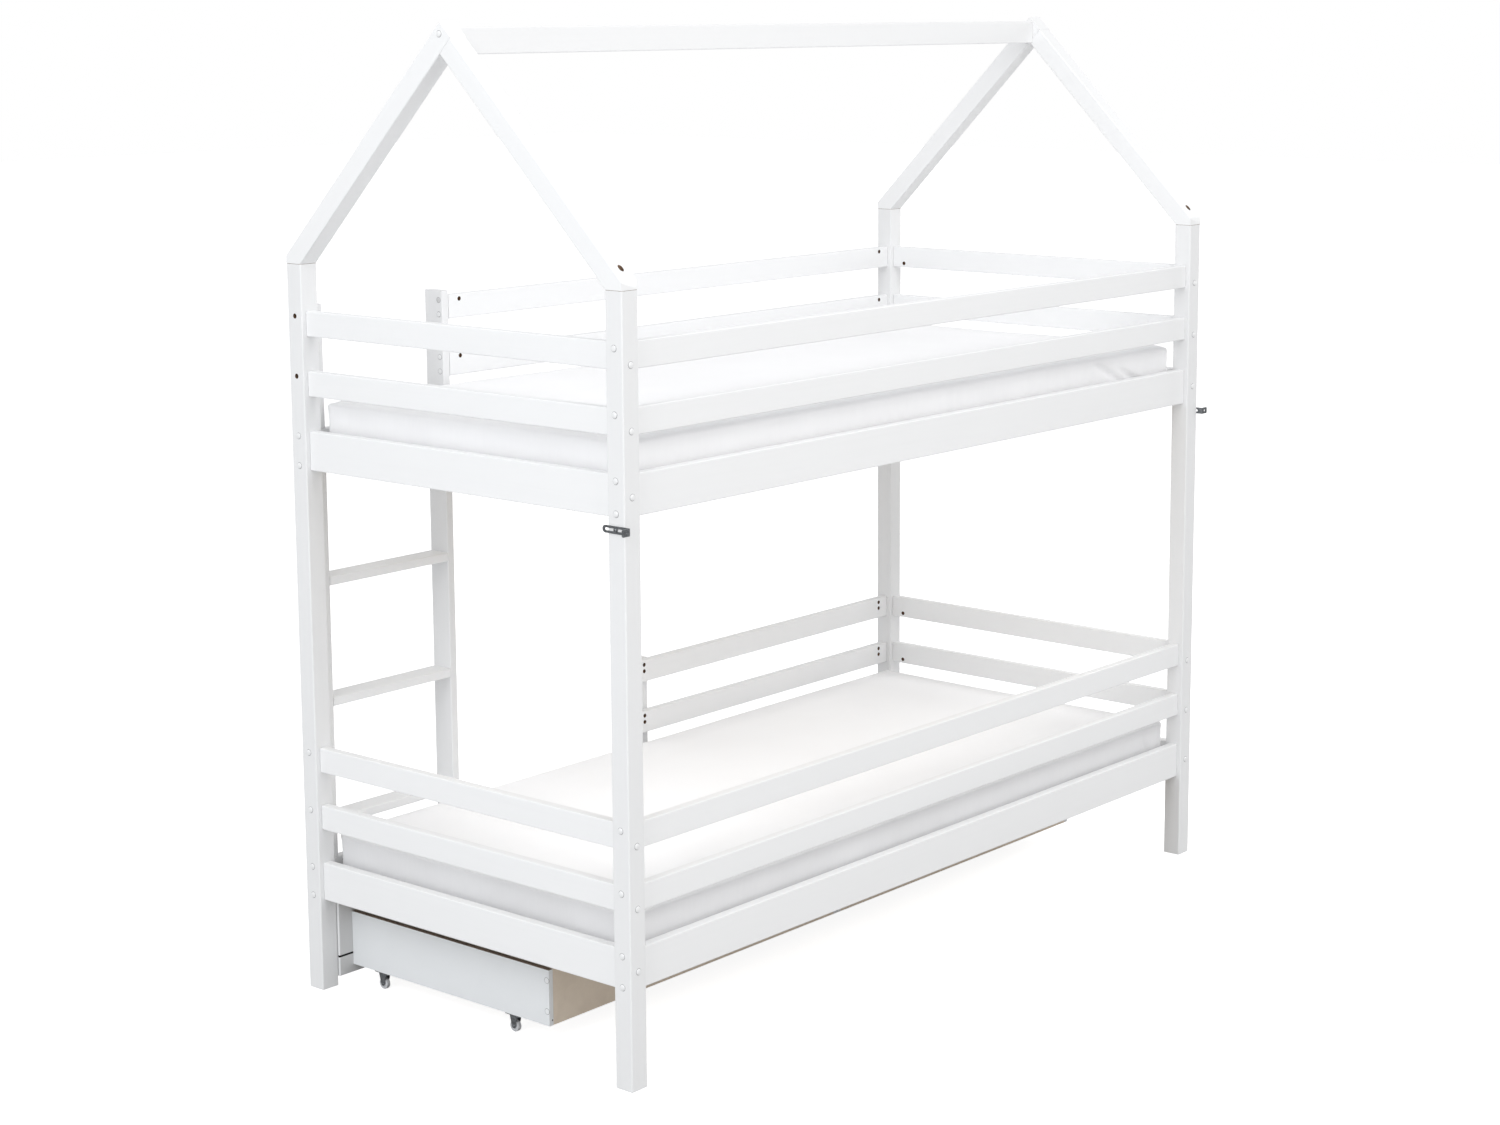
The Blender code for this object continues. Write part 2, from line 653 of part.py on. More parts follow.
def build_mattress(bed, level, hole):
    """Soft block with a crowned top, rounded edges and slightly drawn-in sides."""
    base = slat_top(hole) + FIT
    rings = [
        (0.024, 0.0),
        (0.006, 0.004),
        (0.0, 0.018),
        (MATTRESS_DRAWN_IN, MATTRESS_EDGE * 0.42),
        (MATTRESS_DRAWN_IN, MATTRESS_EDGE * 0.62),
        (0.0, MATTRESS_EDGE - 0.016),
        (0.004, MATTRESS_EDGE - 0.005),
        (0.016, MATTRESS_EDGE + 0.003),
    ]
    shape = bmesh.new()
    loops = []
    for inset, height in rings:
        loops.append([shape.verts.new((x, y, base + height)) for x, y in mattress_plan(inset)])
    last = rings[-1][1]
    for scale in (0.93, 0.82, 0.65, 0.42):
        height = last + (MATTRESS_CROWN - last) * (1 - scale ** 3)
        plan = mattress_plan(0.016)
        loops.append([shape.verts.new((x * scale, y * scale, base + height)) for x, y in plan])
    count = len(loops[0])
    for near, far in zip(loops, loops[1:]):
        for k in range(count):
            after = (k + 1) % count
            shape.faces.new((near[k], near[after], far[after], far[k]))
    shape.faces.new(loops[0])
    middle = shape.verts.new((0, 0, base + MATTRESS_CROWN))
    for k in range(count):
        shape.faces.new((loops[-1][k], loops[-1][(k + 1) % count], middle))
    make_piece(f"{level}_mattress", shape, (0, 0, base), FABRIC, bed, smooth=True)


def slot_outline(low, high, wide, height):
    """Slot with round ends along the first measure."""
    radius = wide / 2
    points = arc((high - radius, height), radius, -90, 90, 6)
    return points + arc((low + radius, height), radius, 90, 270, 6)


def build_wall_brackets(bed):
    """Angled steel strips with a slotted leg on the post and a short leg with a hole on the wall."""
    inner = POST_OUTER_X + FIT
    middle_z = BRACKET_Z
    low = BRACKET_Z - BRACKET_TALL / 2
    high = BRACKET_Z + BRACKET_TALL / 2
    for name, hand in (("left", -1), ("right", 1)):
        shape = bmesh.new()
        outline = [
            (inner, BRACKET_START_Y),
            (inner + BRACKET_THICK, BRACKET_START_Y),
            (inner + BRACKET_THICK, WALL_Y - BRACKET_THICK),
            (BRACKET_OUT_X, WALL_Y - BRACKET_THICK),
            (BRACKET_OUT_X, WALL_Y),
        ]
        outline += arc((inner + BRACKET_THICK, WALL_Y - BRACKET_THICK), BRACKET_THICK, 90, 180, 3)
        prism(shape, outline, "Z", low, high)
        keep = bmesh.new()
        radius = BRACKET_TALL / 2
        rounded = arc((BRACKET_START_Y + radius, middle_z), radius, 90, 270, 10)
        rounded += [(WALL_Y + radius, low), (WALL_Y + radius, high)]
        prism(keep, rounded, "X", inner - 0.01, BRACKET_OUT_X + 0.01)
        shape = combine(shape, keep, "INTERSECT")
        keep = bmesh.new()
        corner = BRACKET_CORNER
        tip = [(inner - 0.01, high), (inner - 0.01, low)]
        tip += arc((BRACKET_OUT_X - corner, low + corner), corner, 270, 360, 3)
        tip += arc((BRACKET_OUT_X - corner, high - corner), corner, 0, 90, 3)
        prism(keep, tip, "Y", BRACKET_START_Y - 0.01, WALL_Y + 0.01)
        shape = combine(shape, keep, "INTERSECT")
        cutter = bmesh.new()
        prism(cutter, slot_outline(*SLOT_Y, SLOT_WIDE, middle_z), "X", inner - 0.004, inner + 0.006)
        hole_x = (inner + BRACKET_THICK + BRACKET_OUT_X) / 2
        rod(cutter, (hole_x, WALL_Y - 0.006, middle_z), (0, 1, 0), WALL_HOLE_RADIUS, 0.010, 12)
        shape = combine(shape, cutter, "DIFFERENCE")
        mirror_x(shape, hand)
        make_piece(f"wall_bracket_{name}", shape, (hand * inner, POST_Y, middle_z), ZINC, bed)


def castor_fork(x, y):
    """Plate, two tapering cheeks and the riveted axle of one castor as a single solid."""
    top = BOX_BOTTOM + LET_IN
    plate = bmesh.new()
    bar(plate, "Y", (y - PLATE_LONG / 2, y + PLATE_LONG / 2), (x, top - PLATE_THICK / 2),
        (PLATE_WIDE, PLATE_THICK), 0.0002, 1)
    inner = WHEEL_WIDE / 2 + CHEEK_GAP
    for side in (-1, 1):
        cheek = bmesh.new()
        outline = [(y + CHEEK_TOP_HALF, top - PLATE_THICK / 2), (y - CHEEK_TOP_HALF, top - PLATE_THICK / 2)]
        outline += arc((y, WHEEL_RADIUS), CHEEK_END_RADIUS, 195, 345, 5)
        near = x + side * inner
        far = x + side * (inner + CHEEK_THICK)
        prism(cheek, outline, "X", min(near, far), max(near, far))
        plate = combine(plate, cheek, "UNION")
    axle = bmesh.new()
    reach = inner + CHEEK_THICK
    profile = [
        (RIVET_RADIUS * 0.7, -reach - RIVET_HEIGHT),
        (RIVET_RADIUS, -reach - RIVET_HEIGHT * 0.3),
        (RIVET_RADIUS, -reach + CHEEK_THICK / 2),
        (AXLE_RADIUS, -reach + CHEEK_THICK / 2),
        (AXLE_RADIUS, reach - CHEEK_THICK / 2),
        (RIVET_RADIUS, reach - CHEEK_THICK / 2),
        (RIVET_RADIUS, reach + RIVET_HEIGHT * 0.3),
        (RIVET_RADIUS * 0.7, reach + RIVET_HEIGHT),
    ]
    turned(axle, profile, (x, y, WHEEL_RADIUS), (1, 0, 0), 12)
    return combine(plate, axle, "UNION")


def wheel_shape(x, y):
    """Castor wheel with a running bore and rounded tread edges."""
    half = WHEEL_WIDE / 2
    bore = (AXLE_RADIUS + RUNNING) / math.cos(math.pi / WHEEL_SIDES)
    profile = [
        (bore, -half),
        (WHEEL_RADIUS - 0.0009, -half),
        (WHEEL_RADIUS, -half + 0.0009),
        (WHEEL_RADIUS, half - 0.0009),
        (WHEEL_RADIUS - 0.0009, half),
        (bore, half),
    ]
    shape = bmesh.new()
    turned(shape, profile, (x, y, WHEEL_RADIUS), (1, 0, 0), WHEEL_SIDES, bored=True)
    return shape


def side_panel(low_x, high_x, grooved_face, castor_x):
    """One side panel with its groove and the two castors screwed to its lower edge."""
    shape = bmesh.new()
    outline = board_outline((low_x, BOX_BOTTOM), (high_x, BOX_BOTTOM + BOX_HEIGHT), PANEL_EASE, 1,
                            (grooved_face, GROOVE_LOW, GROOVE_LOW + GROOVE_WIDE, GROOVE_DEEP))
    prism(shape, outline, "Y", BOX_FRONT_Y + FIT, DRAWER_BACK_Y)
    for y in CASTOR_Y:
        shape = combine(shape, castor_fork(castor_x, y), "UNION")
    return shape


def build_drawer(bed, name, hand):
    """One drawer: front, sides, back and a bottom held in grooves, on four fixed castors."""
    front_y = DRAWER_FRONT_Y
    middle_x = (BOX_OUTER_X + BOX_INNER_X) / 2
    outer_in = BOX_OUTER_X - PANEL_THICK
    inner_in = BOX_INNER_X + PANEL_THICK
    back_inner_y = DRAWER_BACK_Y - PANEL_THICK
    groove = (GROOVE_LOW, GROOVE_LOW + GROOVE_WIDE, GROOVE_DEEP)
    castor_x = (BOX_INNER_X + CASTOR_FROM_FACE, BOX_OUTER_X - CASTOR_FROM_FACE)
    drawer = add_frame(f"{name}_drawer", (hand * middle_x, front_y, 0.0), bed)

    def keep(piece, shape, origin, finish, smooth=False):
        """Mirror a finished shape for this hand and hang it on the drawer."""
        mirror_x(shape, hand)
        place = (hand * origin[0], origin[1], origin[2])
        make_piece(f"{name}_drawer_{piece}", shape, place, finish, drawer, smooth)

    shape = bmesh.new()
    low = (front_y, FRONT_BOTTOM)
    high = (BOX_FRONT_Y, FRONT_TOP)
    prism(shape, board_outline(low, high, FRONT_EASE, 2, (1, *groove)), "X", FRONT_GAP, POST_INNER_X - FRONT_GAP)
    keep("front", shape, (middle_x, front_y, BOX_BOTTOM), WHITE_PAINT)

    shape = side_panel(outer_in, BOX_OUTER_X, 0, castor_x[1])
    caps = bmesh.new()
    for up in PANEL_CAPS_UP:
        at = (BOX_OUTER_X, DRAWER_BACK_Y - PANEL_THICK / 2, BOX_BOTTOM + up)
        add_cap(caps, at, (1, 0, 0), PANEL_CAP_RADIUS, PANEL_CAP_PROUD)
    shape = combine(shape, caps, "UNION")
    keep("outer_side", shape, (BOX_OUTER_X, front_y, BOX_BOTTOM), DRAWER_SIDE, smooth=True)
    shape = side_panel(BOX_INNER_X, inner_in, 1, castor_x[0])
    keep("inner_side", shape, (BOX_INNER_X, front_y, BOX_BOTTOM), DRAWER_SIDE, smooth=True)

    shape = bmesh.new()
    low = (back_inner_y, BOX_BOTTOM)
    high = (DRAWER_BACK_Y, BOX_BOTTOM + BOX_HEIGHT)
    prism(shape, board_outline(low, high, PANEL_EASE, 1, (0, *groove)), "X", inner_in + FIT, outer_in - FIT)
    keep("back", shape, (middle_x, DRAWER_BACK_Y, BOX_BOTTOM), DRAWER_BOARD)

    panel_z = GROOVE_LOW + GROOVE_WIDE / 2
    reach = GROOVE_DEEP - FIT
    outline = [
        (inner_in - reach, BOX_FRONT_Y - reach),
        (outer_in + reach, BOX_FRONT_Y - reach),
        (outer_in + reach, back_inner_y + reach),
        (inner_in - reach, back_inner_y + reach),
    ]
    panel = bmesh.new()
    prism(panel, outline, "Z", panel_z - BOTTOM_THICK / 2, panel_z + BOTTOM_THICK / 2)
    batten = bmesh.new()
    batten_z = panel_z - BOTTOM_THICK / 2 + LET_IN - BATTEN_HEIGHT / 2
    run = (BOX_FRONT_Y + FIT, back_inner_y - FIT)
    bar(batten, "Y", run, (middle_x, batten_z), (BATTEN_WIDE, BATTEN_HEIGHT), PANEL_EASE, 1)
    keep("bottom", combine(panel, batten, "UNION"), (middle_x, front_y, panel_z), DRAWER_BOARD)

    places = [(x, y) for x in castor_x for y in CASTOR_Y]
    for number, (x, y) in enumerate(places, start=1):
        origin = (x, y, WHEEL_RADIUS)
        keep(f"wheel_{number}", wheel_shape(x, y), origin, WHEEL_PLASTIC, smooth=True)


def build_bed():
    """Build every piece of the bunk bed."""
    clear_scene()
    bed = add_frame("bunk_bed", (0.0, SHIFT_Y, 0.0))
    build_posts(bed)
    for level, hole in LEVELS.items():
        build_long_boards(bed, level, hole)
        build_end_boards(bed, level, hole)
        build_slats(bed, level, hole)
        build_mattress(bed, level, hole)
    build_guard_upright(bed)
    build_ladder(bed)
    build_roof(bed)
    build_wall_brackets(bed)
    build_drawer(bed, "left", -1)
    build_drawer(bed, "right", 1)


build_bed()
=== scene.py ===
"""Looks of the white bunk bed with a house-shaped roof, a ladder, two mattresses and two drawers.

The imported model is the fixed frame. Every piece made here takes its place from the frame's boxes, rides on
the body that carries it and stands for the plain solid of the same piece. Metres, +Z up, the ladder end at
+X, the ladder and the drawers' fronts on the -Y side.
"""
import logging
import math
from collections.abc import Callable, Iterable, Mapping, Sequence
from dataclasses import dataclass
from enum import Enum

import bmesh
import bpy
from mathutils import Matrix, Vector, noise


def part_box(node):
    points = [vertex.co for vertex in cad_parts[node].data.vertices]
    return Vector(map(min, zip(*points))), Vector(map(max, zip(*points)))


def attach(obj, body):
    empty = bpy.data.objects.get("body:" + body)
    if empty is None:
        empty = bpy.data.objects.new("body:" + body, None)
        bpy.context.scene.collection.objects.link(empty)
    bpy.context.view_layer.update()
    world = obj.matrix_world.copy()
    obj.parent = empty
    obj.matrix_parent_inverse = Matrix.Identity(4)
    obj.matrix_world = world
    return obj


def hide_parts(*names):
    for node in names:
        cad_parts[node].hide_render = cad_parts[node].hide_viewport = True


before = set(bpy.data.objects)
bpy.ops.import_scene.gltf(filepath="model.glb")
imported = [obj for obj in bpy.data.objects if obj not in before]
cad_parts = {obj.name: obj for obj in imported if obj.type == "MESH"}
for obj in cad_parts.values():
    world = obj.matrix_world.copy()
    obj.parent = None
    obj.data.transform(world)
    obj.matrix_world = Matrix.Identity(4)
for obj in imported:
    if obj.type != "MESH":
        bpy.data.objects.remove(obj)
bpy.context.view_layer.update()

LOG = logging.getLogger("bunk_bed")
Colour = tuple[float, float, float]
Profile = Sequence[tuple[float, float]]
Points = list[tuple[float, float]]
Pieces = list[bpy.types.Object]
Socket = bpy.types.NodeSocket
Feeds = Mapping[str | int, object]


class Axis(Enum):
    """The three directions of the bed."""

    X = 0
    Y = 1
    Z = 2

    @property
    def vector(self) -> Vector:
        """Unit vector of the direction."""
        return Vector([1.0 if place == self.value else 0.0 for place in range(3)])


class Grain(Enum):
    """Direction of a board's grain: the axis it is stretched along, and a turn about X in degrees."""

    LENGTH = (0, 0.0)
    ACROSS = (1, 0.0)
    UPRIGHT = (2, 0.0)
    FRONT_SLOPE = (1, -45.0)
    BACK_SLOPE = (1, 45.0)


class Corner(Enum):
    """The four posts, by the signs of their X and Y."""

    FRONT_RIGHT = (1, -1)
    BACK_RIGHT = (1, 1)
    BACK_LEFT = (-1, 1)
    FRONT_LEFT = (-1, -1)

    @property
    def label(self) -> str:
        """Name of the corner as the frame's nodes spell it."""
        return self.name.lower()


class Level(Enum):
    """The two beds."""

    LOWER = "lower"
    UPPER = "upper"


def middle(node: str) -> Vector:
    """Middle of a frame node's box.

    Args:
        node: Name of the node.

    Returns:
        The point halfway between the box's corners.
    """
    low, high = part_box(node)
    return (low + high) / 2


def arc(centre: tuple[float, float], radius: float, start: float, turn: float, steps: int) -> Points:
    """Work out points along an arc.

    Args:
        centre: Centre of the arc.
        radius: Its radius.
        start: Angle of its first point, in degrees.
        turn: Angle that it covers, in degrees.
        steps: Number of straight pieces.

    Returns:
        The points, both ends among them.
    """
    angles = [math.radians(start + turn * step / steps) for step in range(steps + 1)]
    return [(centre[0] + radius * math.cos(angle), centre[1] + radius * math.sin(angle)) for angle in angles]


def up(height: float) -> Vector:
    """Vector of the given length that points straight up."""
    return Vector((0, 0, height))


def facing(at: Vector, towards: Vector) -> Matrix:
    """Matrix that stands an upright shape at a point and tips it towards a direction.

    Args:
        at: Where the shape's origin comes to lie.
        towards: The way that its upright axis then points.

    Returns:
        The matrix.
    """
    return Matrix.Translation(at) @ up(1).rotation_difference(towards).to_matrix().to_4x4()


def placed(name: str, data: bpy.types.ID) -> bpy.types.Object:
    """Link a new object into the scene.

    Args:
        name: Its name.
        data: Its mesh, light or camera.

    Returns:
        The object.
    """
    made = bpy.data.objects.new(name, data)
    bpy.context.collection.objects.link(made)
    return made


def applied(body: bpy.types.Object) -> bpy.types.Mesh:
    """Apply an object's modifiers, which uses the object up.

    Args:
        body: The object.

    Returns:
        Its mesh as the modifiers leave it.
    """
    mesh = body.data
    made = bpy.data.meshes.new_from_object(body.evaluated_get(bpy.context.evaluated_depsgraph_get()))
    bpy.data.objects.remove(body)
    bpy.data.meshes.remove(mesh)
    return made


@dataclass(frozen=True)
class Bed:
    """Measures that several sub-assemblies share, read from the frame where it holds them."""

    post: float = 0.045
    board: float = 0.022
    module: float = 0.032
    fit: float = 0.0003

    @property
    def middle_y(self) -> float:
        """Middle of the posts across the bed."""
        return (middle("upper_rail_front").y + middle("upper_rail_back").y) / 2

    @property
    def post_x(self) -> float:
        """Distance of a post's middle from the bed's middle, along the bed."""
        return middle("upper_rail_right").x

    @property
    def post_y(self) -> float:
        """Distance of a post's middle from the bed's middle, across the bed."""
        return middle("upper_rail_back").y - self.middle_y

    @property
    def post_top(self) -> float:
        """Height of the posts."""
        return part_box("rafter_front_left")[0].z - self.fit

    def hole_height(self, level: Level, step: int) -> float:
        """Height of a bolt of a level; they stand in steps of the module."""
        return middle(f"{level.value}_rail_back").z - self.module + step * self.module

    def place(self, corner: Corner) -> Vector:
        """Foot of a post's middle line."""
        sign_x, sign_y = corner.value
        return Vector((sign_x * self.post_x, self.middle_y + sign_y * self.post_y, 0.0))


@dataclass(frozen=True)
class Hole:
    """A round hole: where it opens, the way it runs into the timber, its radius and depth."""

    mouth: Vector
    inwards: Vector
    radius: float = 0.005
    depth: float = 0.0155


class Workpiece:
    """A piece in the making: a bmesh, and the operators that shape it."""

    CUT_FACE = 1
    INNER_FACE = 2
    SLOTS = 4
    PARALLEL = 0.999
    SAME = 1e-6
    END_CHAMFER = 0.0005
    EDGE_STEPS = 3

    def __init__(self) -> None:
        """Start with an empty mesh."""
        self.shape = bmesh.new()

    def mesh(self, name: str, materials: Iterable[bpy.types.Material | None] = ()) -> bpy.types.Mesh:
        """Turn the workpiece into a mesh, which uses the workpiece up.

        Args:
            name: Name of the mesh.
            materials: Its materials, set first because a mesh without them forgets its faces' slots.

        Returns:
            The mesh.
        """
        made = bpy.data.meshes.new(name)
        for material in materials:
            made.materials.append(material)
        self.shape.to_mesh(made)
        self.shape.free()
        return made

    def mark(self, slot: int, where: Callable[[Vector], bool] | None = None) -> "Workpiece":
        """Give faces a material slot.

        Args:
            slot: The slot.
            where: Test of a face's middle, or None for every face.

        Returns:
            This workpiece.
        """
        for face in self.shape.faces:
            if where is None or where(face.calc_center_median()):
                face.material_index = slot
        return self

    def transform(self, matrix: Matrix) -> "Workpiece":
        """Move, turn or scale the whole workpiece."""
        bmesh.ops.transform(self.shape, matrix=matrix, verts=self.shape.verts)
        return self

    def join(self, other: "Workpiece") -> "Workpiece":
        """Add another workpiece's mesh to this one, unchanged.

        Args:
            other: The workpiece that is used up.

        Returns:
            This workpiece.
        """
        mesh = other.mesh("joining")
        self.shape.from_mesh(mesh)
        bpy.data.meshes.remove(mesh)
        return self

    def block(self, low: Vector, high: Vector) -> "Workpiece":
        """Add a block between two corners.

        Args:
            low: Lowest corner.
            high: Highest corner.

        Returns:
            This workpiece.
        """
        verts = bmesh.ops.create_cube(self.shape, size=1.0)["verts"]
        bmesh.ops.scale(self.shape, vec=high - low, verts=verts)
        bmesh.ops.translate(self.shape, vec=(low + high) / 2, verts=verts)
        return self

    def ease(self, radius: float, axis: Axis | None = None, steps: int = EDGE_STEPS) -> "Workpiece":
        """Round the edges that run along an axis.

        Args:
            radius: Width of the rounding.
            axis: Axis of the edges, or None for every edge.
            steps: Number of faces across the rounding.

        Returns:
            This workpiece.
        """
        edges = []
        for edge in self.shape.edges:
            run = edge.verts[1].co - edge.verts[0].co
            if axis is None or abs(run.normalized().dot(axis.vector)) > self.PARALLEL:
                edges.append(edge)
        return self.round_edges(edges, radius, steps)

    def ease_outline(self, axis: Axis, radius: float, least: float) -> "Workpiece":
        """Round the long edges of an extruded outline.

        Args:
            axis: The way that the outline was extruded.
            radius: Width of the rounding.
            least: Length above which an edge is rounded.

        Returns:
            This workpiece.
        """
        edges = [edge for edge in self.shape.edges if edge.calc_length() > least
                 and abs(edge.verts[0].co[axis.value] - edge.verts[1].co[axis.value]) < self.SAME]
        return self.round_edges(edges, radius, self.EDGE_STEPS)

    def round_edges(self, edges: Iterable[bmesh.types.BMEdge], radius: float, steps: int) -> "Workpiece":
        """Round the given edges.

        Args:
            edges: Edges of this workpiece.
            radius: Width of the rounding.
            steps: Number of faces across the rounding.

        Returns:
            This workpiece.
        """
        bmesh.ops.bevel(self.shape, geom=list(edges), offset=radius, offset_type="OFFSET", segments=steps,
                        profile=0.5, affect="EDGES", material=-1, clamp_overlap=True)
        return self

    def ease_ends(self, axis: Axis, radius: float) -> "Workpiece":
        """Break the edges round the two ends that face along an axis.

        Args:
            axis: The way the ends face.
            radius: Width of the chamfer.

        Returns:
            This workpiece.
        """
        self.shape.normal_update()
        ends = [face for face in self.shape.faces if abs(face.normal.dot(axis.vector)) > self.PARALLEL]
        in_order = dict.fromkeys(edge for face in ends for edge in face.edges)
        return self.round_edges(in_order, radius, 1)

    def board(self, low: Vector, high: Vector, axis: Axis, ease: float = 0.0025) -> "Workpiece":
        """Add a planed board with rounded long edges and lightly broken ends.

        Args:
            low: Lowest corner.
            high: Highest corner.
            axis: The way the board runs.
            ease: Radius of its long edges.

        Returns:
            This workpiece.
        """
        return self.join(Workpiece().block(low, high).ease(ease, axis).ease_ends(axis, self.END_CHAMFER))

    def outline(self, points: Profile, axis: Axis, start: float, end: float) -> "Workpiece":
        """Add a solid by extruding a flat outline along an axis.

        Args:
            points: Outline in the two other directions, in the order of the axes.
            axis: The way the outline is extruded.
            start: Where the solid starts on the axis.
            end: Where it ends.

        Returns:
            This workpiece.
        """
        solid = Workpiece()
        verts = []
        for first, second in points:
            place = [first, second]
            place.insert(axis.value, start)
            verts.append(solid.shape.verts.new(place))
        face = solid.shape.faces.new(verts)
        made = bmesh.ops.extrude_face_region(solid.shape, geom=[face])["geom"]
        moved = [item for item in made if isinstance(item, bmesh.types.BMVert)]
        bmesh.ops.translate(solid.shape, vec=axis.vector * (end - start), verts=moved)
        bmesh.ops.recalc_face_normals(solid.shape, faces=solid.shape.faces)
        return self.join(solid)

    def turn(self, profile: Profile, at: Vector, towards: Vector, steps: int = 32,
             closed: bool = False) -> "Workpiece":
        """Add a solid turned from a profile.

        Args:
            profile: Points of radius and distance along the axis.
            at: Where the profile's distances start.
            towards: The way the axis points.
            steps: Number of faces round the axis.
            closed: True if the profile closes on itself, round a bore.

        Returns:
            This workpiece.
        """
        solid = Workpiece()
        shape = solid.shape
        verts = [shape.verts.new((radius, 0.0, run)) for radius, run in profile]
        pairs = list(zip(verts, verts[1:]))
        if closed:
            pairs.append((verts[-1], verts[0]))
        edges = [shape.edges.new(pair) for pair in pairs]
        bmesh.ops.spin(shape, geom=verts + edges, cent=(0, 0, 0), axis=(0, 0, 1), angle=math.tau,
                       steps=steps, use_merge=True)
        bmesh.ops.remove_doubles(shape, verts=shape.verts, dist=self.SAME)
        bmesh.ops.recalc_face_normals(shape, faces=shape.faces)
        return self.join(solid.transform(facing(at, towards)))

    def cut(self, other: "Workpiece") -> "Workpiece":
        """Cut another workpiece out of this one.

        Args:
            other: The workpiece that is used up.

        Returns:
            This workpiece.
        """
        pair = [placed("cutting", piece.mesh("cutting", [None] * self.SLOTS)) for piece in (self, other)]
        tool = pair[0].modifiers.new("cut", "BOOLEAN")
        tool.operation = "DIFFERENCE"
        tool.solver = "EXACT"
        tool.object = pair[1]
        self.shape = bmesh.new()
        self.shape.from_object(pair[0], bpy.context.evaluated_depsgraph_get())
        for body in pair:
            mesh = body.data
            bpy.data.objects.remove(body)
            bpy.data.meshes.remove(mesh)
        return self

    def drill(self, holes: Iterable[Hole]) -> "Workpiece":
        """Drill round holes, whose walls take the second material.

        Args:
            holes: The holes to make.

        Returns:
            This workpiece.
        """
        bits = Workpiece()
        outside = 0.002
        point = 0.4
        for hole in holes:
            start = hole.mouth - hole.inwards * outside
            end = hole.depth + outside
            profile = [(0.0, 0.0), (hole.radius, 0.0), (hole.radius, end), (0.0, end + hole.radius * point)]
            bits.turn(profile, start, hole.inwards, 28)
        if not bits.shape.faces:
            bits.shape.free()
            return self
        return self.cut(bits.mark(self.CUT_FACE))

    def finish(self, name: str, finishes: Sequence["Finish"], body: str = "bed", slot: str = "",
               stands_for: Sequence[str] = (), sharp: float = 50.0) -> bpy.types.Object:
        """Turn the workpiece into a finished object that rides on a body.

        Args:
            name: Name of the piece.
            finishes: Its finishes, the first for the outside and the next for cut faces.
            body: Body of the frame that carries it.
            slot: Material slot of the record, if it has one for this piece; not used.
            stands_for: Frame nodes that it replaces.
            sharp: Angle in degrees above which an edge stays sharp.

        Returns:
            The finished object.
        """
        bmesh.ops.recalc_face_normals(self.shape, faces=self.shape.faces)
        mesh = self.mesh(name, [finish.material() for finish in finishes])
        mesh.shade_smooth()
        mesh.set_sharp_from_angle(angle=math.radians(sharp))
        piece = placed(name, mesh)
        smoothing = piece.modifiers.new("even_faces", "WEIGHTED_NORMAL")
        smoothing.keep_sharp = True
        return settle(piece, body, stands_for)


def settle(piece: bpy.types.Object, body: str, stands_for: Sequence[str]) -> bpy.types.Object:
    """Hang a piece on its body and hide the frame nodes that it stands for.

    Args:
        piece: The finished object.
        body: Body of the frame that carries it.
        stands_for: Frame nodes that it replaces.

    Returns:
        The same object.
    """
    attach(piece, body)
    if stands_for:
        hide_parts(*stands_for)
    return piece


